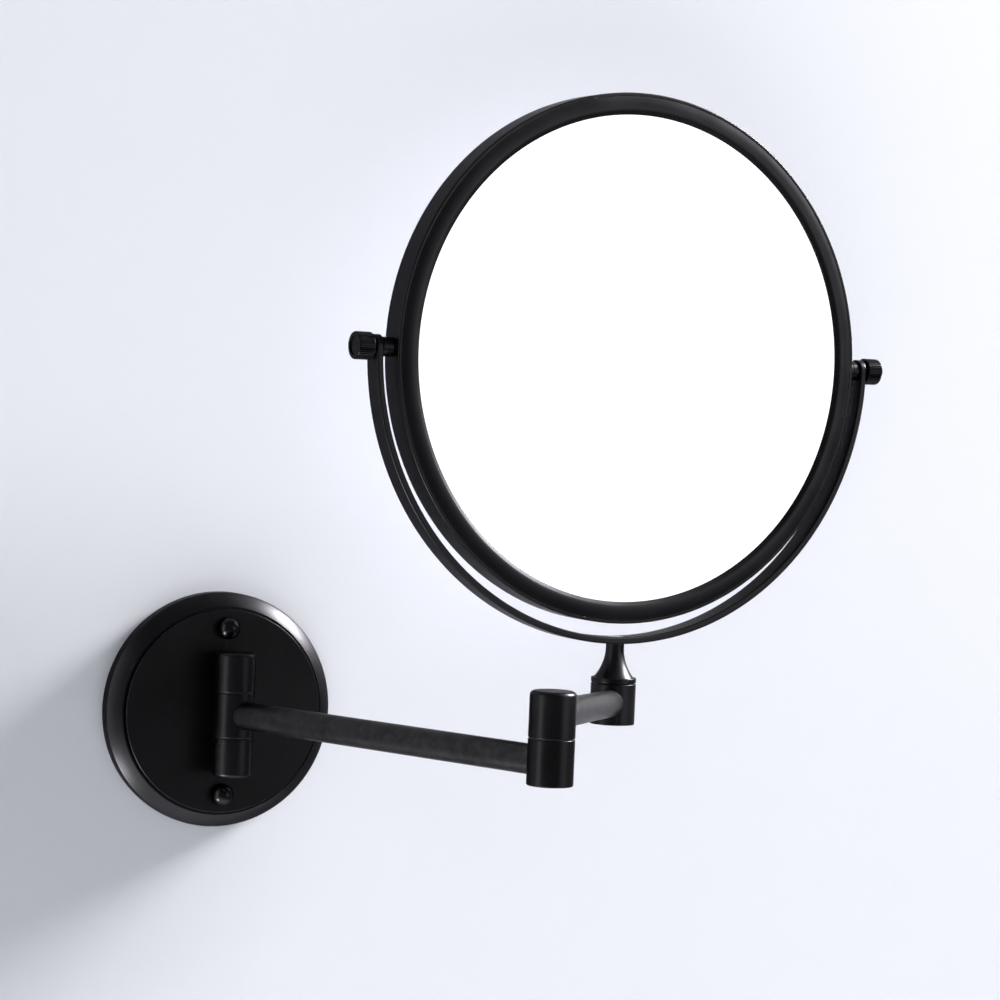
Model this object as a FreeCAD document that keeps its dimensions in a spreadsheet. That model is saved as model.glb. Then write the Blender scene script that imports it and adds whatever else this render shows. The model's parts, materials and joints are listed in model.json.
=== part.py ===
import FreeCAD
import Part
import Sketcher
import os
from math import atan2, pi

from FreeCAD import Placement, Rotation, Vector

# Wall mirror on a folding double arm.  Millimetres; +X to the right along the
# wall, +Y into the wall, +Z up; origin at the centre of the wall plate's back.

SIZES = {
    # wall plate, a hollow cover with a sloped flange and a raised round face
    "plate_radius": 46.0,
    "plate_rim": 5.0,
    "bevel_radius": 40.4,
    "bevel_height": 9.4,
    "step_radius": 39.7,
    "edge_height": 10.2,
    "face_radius": 38.9,
    "edge_round": 0.8,
    "plate_depth": 11.0,
    "hollow_depth": 9.0,
    "hollow_top_radius": 37.8,
    "hollow_rim": 1.4,
    "hollow_radius": 43.8,
    # strip that is screwed to the wall, with its two studs and domed nuts
    "bracket_half_width": 7.0,
    "bracket_half_length": 40.0,
    "bracket_depth": 2.0,
    "bracket_hole_radius": 2.25,
    "bracket_hole_offset": 18.0,
    "stud_offset": 32.5,
    "stud_radius": 2.0,
    "stud_hole_radius": 2.15,
    "stud_collar_radius": 3.4,
    "stud_base": 1.6,
    "stud_collar_end": 2.8,
    "stud_length": 14.6,
    "dome_radius": 4.3,
    "dome_skirt": 2.0,
    "dome_height": 6.0,
    "dome_bore_depth": 4.6,
    # wall hinge: two fixed ears, a fixed pin and the swivelling barrel
    "hinge_offset": 22.0,
    "knuckle_radius": 7.8,
    "barrel_length": 17.0,
    "ear_start": 9.0,
    "ear_length": 15.0,
    "ear_bore_depth": 12.0,
    "edge_break": 0.3,
    "end_chamfer": 0.9,
    "neck_half_width": 4.5,
    "neck_foot_height": 13.0,
    "neck_lift": 0.8,
    "ear_screw_offset": 16.5,
    "ear_screw_radius": 2.0,
    "ear_screw_hole": 2.1,
    "ear_screw_depth": 7.0,
    "ear_screw_head_radius": 3.5,
    "ear_screw_head_height": 2.2,
    "pin_radius": 3.0,
    "pin_hole_radius": 3.03,
    "pin_bore_radius": 3.06,
    "pin_length": 43.0,
    "pin_chamfer": 0.5,
    "washer_bore_radius": 3.15,
    "hinge_washer_radius": 7.2,
    "washer_thickness": 0.4,
    "washer_gap": 0.05,
    # arms
    "arm_length": 165.0,
    "tube_radius": 5.4,
    "tube_bore_radius": 4.3,
    "socket_radius": 5.44,
    "barrel_socket": 4.8,
    "elbow_socket": 5.2,
    "head_socket": 6.4,
    "socket_gap": 0.2,
    "outer_arm_level": 16.5,
    "outer_arm_fall": 10.9,
    # elbow
    "elbow_radius": 8.3,
    "elbow_half_length": 16.4,
    "elbow_level": 8.2,
    "elbow_gap": 0.4,
    "elbow_washer_radius": 7.9,
    "elbow_washer_thickness": 0.3,
    "bolt_thread_radius": 2.5,
    "bolt_thread_hole": 2.55,
    "bolt_thread_length": 12.0,
    "bolt_hole_depth": 13.0,
    "bolt_shoulder_radius": 3.0,
    "bolt_shoulder_length": 10.6,
    "bolt_head_radius": 4.2,
    "bolt_head_height": 2.6,
    "bolt_head_bore": 4.5,
    "bolt_seat": 10.2,
    "cap_radius": 6.5,
    "cap_seat_radius": 6.55,
    "cap_thickness": 1.2,
    "cap_inset": 0.1,
    # head: barrel on the outer arm, stem of the yoke turning in it
    "head_radius": 9.1,
    "head_length": 16.4,
    "head_level": -2.6,
    "head_edge": 0.35,
    "spindle_radius": 4.0,
    "spindle_bore_radius": 4.06,
    "spindle_length": 13.7,
    "head_recess_radius": 6.2,
    "head_recess_depth": 3.2,
    "head_screw_radius": 2.0,
    "head_screw_hole": 2.05,
    "head_screw_length": 7.0,
    "head_screw_hole_depth": 8.0,
    "head_screw_head_radius": 3.6,
    "head_screw_head_height": 1.4,
    "retainer_radius": 6.0,
    "retainer_bore_radius": 2.1,
    "retainer_thickness": 1.0,
    "collar_height": 2.0,
    "flare_base_radius": 8.2,
    "flare_height": 13.55,
    "flare_round": 20.5,
    "stem_radius": 3.7,
    "yoke_screw_radius": 1.9,
    "yoke_screw_hole": 1.95,
    "yoke_screw_length": 7.0,
    "yoke_screw_hole_depth": 8.0,
    "yoke_screw_head_radius": 3.3,
    "yoke_screw_head_height": 1.5,
    # yoke, a half ring of flat strip with rounded ends
    "yoke_radius": 114.3,
    "yoke_inner_radius": 111.5,
    "yoke_half_width": 4.7,
    "pivot_hole_radius": 2.08,
    # mirror
    "frame_radius": 106.0,
    "band_inner_radius": 104.8,
    "band_half_depth": 6.1,
    "band_edge": 0.4,
    "bezel_outer_radius": 104.7,
    "bezel_back": 5.0,
    "bezel_side": 5.6,
    "bezel_lip": 6.2,
    "bezel_crown": 9.0,
    "bevel_start_radius": 99.9,
    "window_radius": 97.8,
    "window_front": 5.85,
    "window_back": 5.55,
    "lip_radius": 99.8,
    "glass_radius": 99.6,
    "glass_front": 5.5,
    "glass_back": 2.7,
    "curved_thickness": 2.2,
    "curved_rise": 4.5,
    "curve_radius": 1104.49,
    "backing_radius": 99.0,
    "backing_front": 2.6,
    "backing_back": 1.4,
    "core_inner_radius": 100.2,
    "core_outer_radius": 104.6,
    "core_half_depth": 4.9,
    "boss_radius": 3.8,
    "boss_end": 111.2,
    "boss_stem_radius": 3.0,
    "boss_stem_hole": 3.05,
    "boss_start": 101.0,
    "boss_bore_radius": 2.08,
    "boss_bore_start": 103.0,
    # knurled thumb screws
    "knob_radius": 5.4,
    "knob_gap": 0.3,
    "knob_neck_radius": 3.6,
    "knob_neck": 0.7,
    "knob_length": 7.6,
    "knob_edge": 0.7,
    "knob_recess_radius": 3.7,
    "knob_recess": 0.5,
    "knob_screw_radius": 2.0,
    "knob_screw_start": 103.6,
    "knurl_radius": 0.22,
    "knurl_count": 40.0,
    # pose at rest, degrees
    "inner_arm_angle": -67.9,
    "outer_arm_angle": 55.6,
    "yoke_angle": 4.0,
    "mirror_angle": 90.2,
    # height of the mirror's pivot above the inner arm
    "pivot_level": 144.1,
}

X_AXIS = Vector(1, 0, 0)
Y_AXIS = Vector(0, 1, 0)
Z_AXIS = Vector(0, 0, 1)
HERE = Vector(0, 0, 0)
ON_AXIS = "centre on axis"

DOC = FreeCAD.newDocument("WallMirror")
PIECES = []


def make_sheet():
    sheet = DOC.addObject("Spreadsheet::Sheet", "Sizes")
    for row, (alias, size) in enumerate(SIZES.items(), start=1):
        sheet.set(f"A{row}", alias)
        sheet.set(f"B{row}", str(size))
        sheet.setAlias(f"B{row}", alias)
    DOC.recompute()


def expression(text):
    """Turn 'a + b - c' into an expression on the sheet's cells."""
    words = text.replace("(", "( ").replace(")", " )").split()
    return " ".join(f"Sizes.{word}" if word in SIZES else word for word in words)


def value(text):
    """The length that a sum such as 'a + b - c' stands for."""
    total, sign = 0.0, 1.0
    for word in text.split():
        if word in "+-":
            sign = 1.0 if word == "+" else -1.0
        elif word != "0":
            total += sign * SIZES[word]
    return total


def bind(item, **sizes):
    for name, text in sizes.items():
        item.setExpression(name, expression(text))


def origin_plane(body, role):
    return next(f for f in body.Origin.OriginFeatures if f.Role == role)


def attached_sketch(body, name, role):
    sketch = body.newObject("Sketcher::SketchObject", name)
    sketch.AttachmentSupport = [(origin_plane(body, role), "")]
    sketch.MapMode = "FlatFace"
    return sketch


def arc_between(start, end, radius, bulge):
    """An arc on two points; bulge +1 puts its middle left of the way from start to end."""
    chord = end - start
    reach = (radius ** 2 - (chord.Length / 2) ** 2) ** 0.5
    left = Vector(-chord.y, chord.x, 0).normalize()
    centre = (start + end) * 0.5 - left * bulge * reach
    first, last = (start, end) if bulge < 0 else (end, start)
    circle = Part.Circle(centre, Z_AXIS, radius)
    return Part.ArcOfCircle(circle, bearing_angle(first - centre),
                            bearing_angle(last - centre))


def bearing_angle(direction):
    return atan2(direction.y, direction.x) % (2 * pi)


def arc_radius(start, end, text):
    """The stated radius, or that of a dome whose centre lies on the axis."""
    if text != ON_AXIS:
        return value(text)
    rise = abs(end.y - start.y)
    return (abs(end.x - start.x) ** 2 + rise ** 2) / (2 * rise)


def turned(name, outline):
    """A body turned about its own Z axis from a closed outline.

    Each corner is (radius, height) and may carry (radius of arc, bulge) for the
    edge that leaves it.
    """
    body = DOC.addObject("PartDesign::Body", name)
    sketch = attached_sketch(body, f"{name}_outline", "XZ_Plane")
    corners = [Vector(value(c[0]), value(c[1]), 0) for c in outline]
    for number, corner in enumerate(outline):
        start, end = corners[number], corners[(number + 1) % len(corners)]
        if len(corner) > 2:
            arc = arc_between(start, end, arc_radius(start, end, corner[2]), corner[3])
            sketch.addGeometry(arc, False)
        else:
            sketch.addGeometry(Part.LineSegment(start, end), False)
    flipped = [starts_at_end(sketch.Geometry[n], corners[n]) for n in range(len(corners))]
    for number in range(len(corners)):
        follower = (number + 1) % len(corners)
        tail = 1 if flipped[number] else 2
        head = 2 if flipped[follower] else 1
        sketch.addConstraint(
            Sketcher.Constraint("Coincident", number, tail, follower, head)
        )
    for number, corner in enumerate(outline):
        hold_corner(sketch, number, 2 if flipped[number] else 1, corner)
    spin = body.newObject("PartDesign::Revolution", f"{name}_turned")
    spin.Profile = sketch
    spin.ReferenceAxis = (sketch, ["V_Axis"])
    spin.Angle = 360
    sketch.Visibility = False
    return body


def starts_at_end(edge, corner):
    return (edge.StartPoint - corner).Length > (edge.EndPoint - corner).Length


def hold_corner(sketch, edge, point, corner):
    for kind, axis, text in (("DistanceX", -2, corner[0]), ("DistanceY", -1, corner[1])):
        if text == "0":
            sketch.addConstraint(
                Sketcher.Constraint("PointOnObject", edge, point, axis)
            )
            continue
        index = sketch.addConstraint(
            Sketcher.Constraint(kind, -1, 1, edge, point, value(text))
        )
        sketch.setExpression(f"Constraints[{index}]", expression(text))
    if len(corner) > 2 and corner[2] == ON_AXIS:
        sketch.addConstraint(Sketcher.Constraint("PointOnObject", edge, 3, -2))
    elif len(corner) > 2:
        index = sketch.addConstraint(
            Sketcher.Constraint("Radius", edge, value(corner[2]))
        )
        sketch.setExpression(f"Constraints[{index}]", expression(corner[2]))


def rod(name, radius, start, end, origin=HERE, along=Z_AXIS):
    """A plain cylinder from start to end along a direction."""
    item = DOC.addObject("Part::Cylinder", name)
    bind(item, Radius=radius, Height=f"({end}) - ({start})")
    item.Placement = Placement(origin + along * value(start), Rotation(Z_AXIS, along))
    return item


def block(name, x_span, y_span, z_span):
    """A box between pairs of sheet sums."""
    item = DOC.addObject("Part::Box", name)
    spans = (x_span, y_span, z_span)
    lengths = [f"({high}) - ({low})" for low, high in spans]
    bind(item, Length=lengths[0], Width=lengths[1], Height=lengths[2])
    item.Placement.Base = Vector(*[value(low) for low, high in spans])
    return item


def joined(name, *items):
    item = DOC.addObject("Part::MultiFuse", name)
    item.Shapes = list(items)
    return item


def cut(name, base, *tools):
    """The base with every tool taken away; each tool must remove something."""
    DOC.recompute()
    for number, tool in enumerate(tools):
        last = number == len(tools) - 1
        item = DOC.addObject("Part::Cut", name if last else f"{name}_cut{number}")
        item.Base, item.Tool = base, tool
        DOC.recompute()
        if item.Shape.Volume >= base.Shape.Volume - 1e-6:
            raise ValueError(f"{name}: {tool.Name} removes nothing")
        base = item
    return base


def pair(name, one, base, normal):
    """The piece and its mirror image as one group of two solids."""
    other = DOC.addObject("Part::Mirroring", f"{name}_other")
    other.Source, other.Base, other.Normal = one, base, normal
    group = DOC.addObject("Part::Compound", name)
    group.Links = [one, other]
    return group


def keep(item, label, placement=None):
    """Register a finished sub-part under its label, at its place in the mirror."""
    if placement is not None:
        item.Placement = placement
    item.Label = label
    PIECES.append(item)
    return item


def upright(x, y, z, turn=0.0):
    return Placement(Vector(x, y, z), Rotation(Z_AXIS, turn))


# ---------------------------------------------------------------- wall side

OUT_OF_WALL = Placement(HERE, Rotation(X_AXIS, 90))


def wall_plate():
    body = turned("wall_plate", [
        ("hollow_radius", "0"),
        ("plate_radius", "0"),
        ("plate_radius", "plate_rim"),
        ("bevel_radius", "bevel_height"),
        ("step_radius", "bevel_height"),
        ("step_radius", "edge_height", "edge_round", -1),
        ("face_radius", "plate_depth"),
        ("0", "plate_depth"),
        ("0", "hollow_depth"),
        ("hollow_top_radius", "hollow_depth"),
        ("hollow_radius", "hollow_rim"),
    ])
    DOC.recompute()
    solid_volume = body.Shape.Volume
    holes = attached_sketch(body, "plate_holes", "XY_Plane")
    for offset, radius in (("stud_offset", "stud_hole_radius"),
                           ("ear_screw_offset", "ear_screw_hole")):
        for side in (1, -1):
            add_hole(holes, side, offset, radius)
    pocket = body.newObject("PartDesign::Pocket", "plate_hole_cut")
    pocket.Profile = holes
    pocket.Type = "ThroughAll"
    pocket.Reversed = True
    DOC.recompute()
    if body.Shape.Volume >= solid_volume:
        raise ValueError("the plate's holes cut nothing")
    keep(body, "wall_plate", OUT_OF_WALL)


def add_hole(sketch, side, offset, radius):
    centre = Vector(0, side * value(offset), 0)
    circle = sketch.addGeometry(Part.Circle(centre, Z_AXIS, value(radius)), False)
    sketch.addConstraint(Sketcher.Constraint("PointOnObject", circle, 3, -2))
    ends = (-1, 1, circle, 3) if side > 0 else (circle, 3, -1, 1)
    for constraint, text in (
        (Sketcher.Constraint("DistanceY", *ends, value(offset)), offset),
        (Sketcher.Constraint("Radius", circle, value(radius)), radius),
    ):
        index = sketch.addConstraint(constraint)
        sketch.setExpression(f"Constraints[{index}]", expression(text))


def wall_bracket():
    depth = value("bracket_depth")
    strip = block("bracket_strip", ("0 - bracket_half_width", "bracket_half_width"),
                  ("0 - bracket_depth", "0"),
                  ("0 - bracket_half_length", "bracket_half_length"))
    holes = []
    for name, offset, radius in (("stud", "stud_offset", "stud_hole_radius"),
                                 ("wall", "bracket_hole_offset", "bracket_hole_radius")):
        for side in (1, -1):
            origin = Vector(0, depth, side * value(offset))
            tool = rod(f"bracket_{name}_hole{side + 1}", radius, "0",
                       "bracket_depth + bracket_depth + bracket_depth", origin, -Y_AXIS)
            holes.append(tool)
    keep(cut("wall_bracket", strip, *holes), "wall_bracket")


def wall_studs():
    stud = turned("stud", [
        ("0", "0"),
        ("stud_radius", "0"),
        ("stud_radius", "stud_base"),
        ("stud_collar_radius", "stud_base"),
        ("stud_collar_radius", "stud_collar_end"),
        ("stud_radius", "stud_collar_end"),
        ("stud_radius", "stud_length"),
        ("0", "stud_length"),
    ])
    start = value("bracket_depth - stud_base") + value("washer_gap")
    stud.Placement = Placement(Vector(0, -start, value("stud_offset")),
                               Rotation(X_AXIS, 90))
    keep(pair("wall_studs", stud, HERE, Z_AXIS), "wall_studs")


def dome_nuts():
    nut = turned("dome_nut", [
        ("0", "dome_bore_depth"),
        ("stud_hole_radius", "dome_bore_depth"),
        ("stud_hole_radius", "0"),
        ("dome_radius", "0"),
        ("dome_radius", "dome_skirt", ON_AXIS, -1),
        ("0", "dome_height"),
    ])
    face = value("plate_depth") + value("washer_gap")
    nut.Placement = Placement(Vector(0, -face, value("stud_offset")),
                              Rotation(X_AXIS, 90))
    keep(pair("dome_nuts", nut, HERE, Z_AXIS), "dome_nuts")


def hinge_ear(name, closed):
    """One fixed knuckle of the wall hinge with the foot that meets the plate."""
    bore = [
        ("0", "ear_length"),
        ("0", "ear_bore_depth"),
        ("pin_hole_radius", "ear_bore_depth"),
    ] if closed else [("pin_hole_radius", "ear_length")]
    knuckle = turned(f"{name}_knuckle", [
        ("pin_hole_radius", "0"),
        ("knuckle_radius - edge_break", "0"),
        ("knuckle_radius", "edge_break"),
        ("knuckle_radius", "ear_length - end_chamfer"),
        ("knuckle_radius - end_chamfer", "ear_length"),
    ] + bore)
    face = "hinge_offset - plate_depth - washer_gap"
    foot = block(f"{name}_foot", ("0 - neck_half_width", "neck_half_width"),
                 ("pin_hole_radius + edge_break", face),
                 ("neck_lift", "neck_foot_height"))
    origin = Vector(0, value(face), value("ear_screw_offset - ear_start"))
    hole = rod(f"{name}_screw_hole", "ear_screw_hole", "0", "ear_screw_depth + socket_gap",
               origin, -Y_AXIS)
    ear = cut(name, joined(f"{name}_solid", knuckle, foot), hole)
    level = value("ear_start")
    if closed:
        place = upright(0, -value("hinge_offset"), level)
    else:
        # turned end for end, keeping its foot towards the wall
        place = Placement(Vector(0, -value("hinge_offset"), -level),
                          Rotation(Y_AXIS, 180))
    keep(ear, name, place)


def hinge_pin():
    pin = turned("hinge_pin", [
        ("0", "0"),
        ("pin_radius - pin_chamfer", "0"),
        ("pin_radius", "pin_chamfer"),
        ("pin_radius", "pin_length - pin_chamfer"),
        ("pin_radius - pin_chamfer", "pin_length"),
        ("0", "pin_length"),
    ])
    top = value("ear_start + ear_bore_depth - socket_gap")
    keep(pin, "hinge_pin", upright(0, -value("hinge_offset"), top - value("pin_length")))


def ear_screws():
    screw = turned("ear_screw", [
        ("0", "0"),
        ("ear_screw_head_radius", "0"),
        ("ear_screw_head_radius", "ear_screw_head_height"),
        ("ear_screw_radius", "ear_screw_head_height"),
        ("ear_screw_radius", "ear_screw_head_height + bracket_depth + ear_screw_depth"),
        ("0", "ear_screw_head_height + bracket_depth + ear_screw_depth"),
    ])
    start = value("hollow_depth - ear_screw_head_height") - value("washer_gap")
    screw.Placement = Placement(Vector(0, -start, value("ear_screw_offset")),
                                Rotation(X_AXIS, 90))
    keep(pair("ear_screws", screw, HERE, Z_AXIS), "ear_screws")


def washer(name, bore, radius, thickness):
    return turned(name, [(bore, "0"), (radius, "0"), (radius, thickness),
                         (bore, thickness)])


def hinge_washers():
    one = washer("hinge_washer", "washer_bore_radius", "hinge_washer_radius",
                 "washer_thickness")
    level = value("ear_start - washer_gap - washer_thickness")
    one.Placement = upright(0, -value("hinge_offset"), level)
    keep(pair("hinge_washers", one, HERE, Z_AXIS), "hinge_washers")


# ---------------------------------------------------------------- arms

def bearing(name, bore, radius, length, low_edge, high_edge, *extra):
    """A short barrel with a through bore and broken or chamfered end edges."""
    return turned(name, [
        (bore, "0"),
        (f"{radius} - {low_edge}", "0"),
        (radius, low_edge),
        (radius, f"{length} - {high_edge}"),
        (f"{radius} - {high_edge}", length),
        *extra,
    ])


def inner_arm(place):
    barrel_middle = Vector(0, 0, value("barrel_length") / 2)
    barrel = bearing("barrel_turned", "pin_bore_radius", "knuckle_radius",
                     "barrel_length", "edge_break", "edge_break",
                     ("pin_bore_radius", "barrel_length"))
    socket = rod("barrel_socket_cut", "socket_radius", "barrel_socket",
                 "knuckle_radius + knuckle_radius", barrel_middle, X_AXIS)
    keep(cut("swivel_barrel", barrel, socket), "swivel_barrel",
         place * Placement(-barrel_middle, Rotation()))

    span = ("barrel_socket + socket_gap", "arm_length - elbow_socket - socket_gap")
    solid = rod("inner_tube_outside", "tube_radius", *span, HERE, X_AXIS)
    hollow = rod("inner_tube_inside", "tube_bore_radius", *span, HERE, X_AXIS)
    keep(cut("inner_arm_tube", solid, hollow), "inner_arm_tube", place)

    middle = Vector(0, 0, value("elbow_level"))
    lower = bearing("elbow_lower_turned", "bolt_thread_hole", "elbow_radius",
                    "elbow_half_length", "end_chamfer", "edge_break",
                    ("bolt_thread_hole", "elbow_half_length"))
    plug = rod("elbow_floor", "bolt_thread_hole", "0",
               "elbow_half_length - bolt_hole_depth")
    closed = joined("elbow_lower_solid", lower, plug)
    socket = rod("elbow_lower_socket", "socket_radius", "elbow_socket",
                 "elbow_radius + elbow_radius", middle, -X_AXIS)
    at_elbow = place * Placement(X_AXIS * value("arm_length"), Rotation())
    keep(cut("elbow_lower", closed, socket), "elbow_lower",
         at_elbow * Placement(-middle, Rotation()))

    bolt = turned("elbow_bolt", [
        ("0", "0"),
        ("bolt_thread_radius", "0"),
        ("bolt_thread_radius", "bolt_thread_length"),
        ("bolt_shoulder_radius", "bolt_thread_length"),
        ("bolt_shoulder_radius", "bolt_thread_length + bolt_shoulder_length"),
        ("bolt_head_radius", "bolt_thread_length + bolt_shoulder_length"),
        ("bolt_head_radius",
         "bolt_thread_length + bolt_shoulder_length + bolt_head_height"),
        ("0", "bolt_thread_length + bolt_shoulder_length + bolt_head_height"),
    ])
    foot = value("elbow_half_length - elbow_level") + value("washer_gap")
    foot -= value("bolt_thread_length")
    keep(bolt, "elbow_bolt", at_elbow * upright(0, 0, foot))

    ring = washer("elbow_washer", "washer_bore_radius", "elbow_washer_radius",
                  "elbow_washer_thickness")
    level = value("elbow_half_length - elbow_level + washer_gap")
    keep(ring, "elbow_washer", at_elbow * upright(0, 0, level))


def outer_arm(place, head_place, slope):
    base = value("elbow_half_length - elbow_level + elbow_gap")
    upper = turned("elbow_upper_turned", [
        ("pin_bore_radius", "0"),
        ("elbow_radius - edge_break", "0"),
        ("elbow_radius", "edge_break"),
        ("elbow_radius", "elbow_half_length - end_chamfer"),
        ("elbow_radius - end_chamfer", "elbow_half_length"),
        ("cap_seat_radius", "elbow_half_length"),
        ("cap_seat_radius", "elbow_half_length - cap_thickness - cap_inset"),
        ("bolt_head_bore", "elbow_half_length - cap_thickness - cap_inset"),
        ("bolt_head_bore", "bolt_seat"),
        ("pin_bore_radius", "bolt_seat"),
    ])
    lift = Vector(0, 0, base)
    start = Vector(0, 0, value("outer_arm_level"))
    socket = rod("elbow_upper_socket", "socket_radius", "elbow_socket",
                 "elbow_radius + elbow_radius", start - lift, slope)
    keep(cut("elbow_upper", upper, socket), "elbow_upper",
         place * Placement(lift, Rotation()))

    cap = turned("elbow_cap", [
        ("0", "0"),
        ("cap_radius", "0"),
        ("cap_radius", "cap_thickness - cap_inset"),
        ("cap_radius - cap_inset", "cap_thickness"),
        ("0", "cap_thickness"),
    ])
    keep(cap, "elbow_cap",
         place * upright(0, 0, base + value("elbow_half_length - cap_thickness - cap_inset")
                         + value("washer_gap")))

    span = ("elbow_socket + socket_gap", "arm_length - head_socket - socket_gap")
    solid = rod("outer_tube_outside", "tube_radius", *span, start, slope)
    hollow = rod("outer_tube_inside", "tube_bore_radius", *span, start, slope)
    keep(cut("outer_arm_tube", solid, hollow), "outer_arm_tube", place)

    barrel = turned("head_barrel_turned", [
        ("head_recess_radius", "0"),
        ("head_radius - head_edge", "0"),
        ("head_radius", "head_edge"),
        ("head_radius", "head_length - head_edge"),
        ("head_radius - head_edge", "head_length"),
        ("spindle_bore_radius", "head_length"),
        ("spindle_bore_radius", "head_recess_depth"),
        ("head_recess_radius", "head_recess_depth"),
    ])
    end = start + slope * value("arm_length") - Vector(value("arm_length"), 0, 0)
    end -= Vector(0, 0, value("head_level"))
    socket = rod("head_socket_cut", "socket_radius", "head_socket",
                 "head_radius + head_radius", end, -slope)
    keep(cut("head_barrel", barrel, socket), "head_barrel", head_place)


# ---------------------------------------------------------------- yoke

def yoke(head_place, yoke_place):
    """Stem, half ring and their fastenings; head_place stands on the barrel's foot."""
    top = value("head_length + elbow_gap")
    stem = turned("stem_turned", [
        ("0", "0"),
        ("spindle_radius", "0"),
        ("spindle_radius", "spindle_length"),
        ("head_radius - head_edge", "spindle_length"),
        ("head_radius", "spindle_length + head_edge"),
        ("head_radius", "spindle_length + collar_height - head_edge"),
        ("head_radius - head_edge", "spindle_length + collar_height"),
        ("flare_base_radius", "spindle_length + collar_height", "flare_round", 1),
        ("stem_radius", "spindle_length + collar_height + flare_height"),
        ("0", "spindle_length + collar_height + flare_height"),
    ])
    lower_hole = rod("stem_lower_hole", "head_screw_hole", "0", "head_screw_hole_depth")
    tip = Vector(0, 0, value("spindle_length + collar_height + flare_height"))
    upper_hole = rod("stem_upper_hole", "yoke_screw_hole", "0", "yoke_screw_hole_depth",
                     tip, -Z_AXIS)
    foot = top - value("spindle_length")
    keep(cut("yoke_stem", stem, lower_hole, upper_hole), "yoke_stem",
         head_place * upright(0, 0, foot))

    ring = washer("head_washer", "spindle_bore_radius + washer_gap",
                  "head_radius - collar_height", "elbow_washer_thickness")
    keep(ring, "head_washer",
         head_place * upright(0, 0, value("head_length + washer_gap")))

    retainer = washer("head_retainer", "retainer_bore_radius", "retainer_radius",
                      "retainer_thickness")
    below = foot - value("washer_gap + retainer_thickness")
    keep(retainer, "head_retainer", head_place * upright(0, 0, below))

    screw = screw_from("head_screw", "head_screw_head_radius", "head_screw_head_height",
                       "head_screw_radius", "head_screw_length")
    keep(screw, "head_screw",
         head_place * upright(0, 0, below - value("washer_gap + head_screw_head_height")))

    outside = rod("yoke_outside", "yoke_radius", "0 - yoke_half_width",
                  "yoke_half_width", HERE, Y_AXIS)
    inside = rod("yoke_inside", "yoke_inner_radius", "0 - yoke_radius",
                 "yoke_radius", HERE, Y_AXIS)
    upper = block("yoke_upper_half", ("0 - yoke_radius - yoke_radius",
                                      "yoke_radius + yoke_radius"),
                  ("0 - yoke_radius", "yoke_radius"), ("0", "yoke_radius + yoke_radius"))
    half = cut("yoke_half", outside, inside, upper)
    ends = [rod(f"yoke_end{number}", "yoke_half_width", "yoke_inner_radius",
                "yoke_radius", HERE, side)
            for number, side in enumerate((X_AXIS, -X_AXIS))]
    pivots = rod("yoke_pivot_holes", "pivot_hole_radius", "0 - yoke_radius - yoke_radius",
                 "yoke_radius + yoke_radius", HERE, X_AXIS)
    seat = rod("yoke_screw_seat", "yoke_screw_head_radius + edge_break",
               "yoke_inner_radius - yoke_screw_head_height",
               "yoke_inner_radius + yoke_screw_head_height", HERE, -Z_AXIS)
    through = rod("yoke_screw_way", "yoke_screw_hole", "yoke_inner_radius",
                  "yoke_radius + edge_break", HERE, -Z_AXIS)
    keep(cut("yoke_ring", joined("yoke_solid", half, *ends), pivots, seat, through),
         "yoke_ring", yoke_place)

    screw = screw_from("yoke_screw", "yoke_screw_head_radius", "yoke_screw_head_height",
                       "yoke_screw_radius", "yoke_screw_length")
    turned_down = Placement(Vector(0, 0, -value("yoke_inner_radius")),
                            Rotation(X_AXIS, 180))
    keep(screw, "yoke_screw", yoke_place * turned_down)


def screw_from(name, head_radius, head_height, radius, length):
    return turned(name, [
        ("0", "0"),
        (head_radius, "0"),
        (head_radius, head_height),
        (radius, head_height),
        (radius, f"{head_height} + {length}"),
        ("0", f"{head_height} + {length}"),
    ])


# ---------------------------------------------------------------- mirror

def bezel(name):
    return turned(name, [
        ("lip_radius", "bezel_back"),
        ("bezel_outer_radius", "bezel_back"),
        ("bezel_outer_radius", "bezel_side", "bezel_crown", -1),
        ("bevel_start_radius", "bezel_lip"),
        ("window_radius", "window_front"),
        ("window_radius", "window_back"),
        ("lip_radius", "window_back"),
    ])


def ball(name, level):
    """The sphere of the magnifying glass, its lowest point at a level on the axis."""
    item = DOC.addObject("Part::Sphere", name)
    bind(item, Radius="curve_radius")
    item.Placement = Placement(Vector(0, 0, value(level) + value("curve_radius")),
                               Rotation(X_AXIS, 90))
    return item


def curved_glass():
    """A dished disc of even thickness, hollow towards its own +Z."""
    blank = rod("curved_blank", "glass_radius", "0", "curved_thickness + curved_rise")
    dished = DOC.addObject("Part::Common", "curved_back")
    dished.Base, dished.Tool = blank, ball("back_sphere", "0")
    return cut("magnifying_glass", dished, ball("front_sphere", "curved_thickness"))


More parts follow.
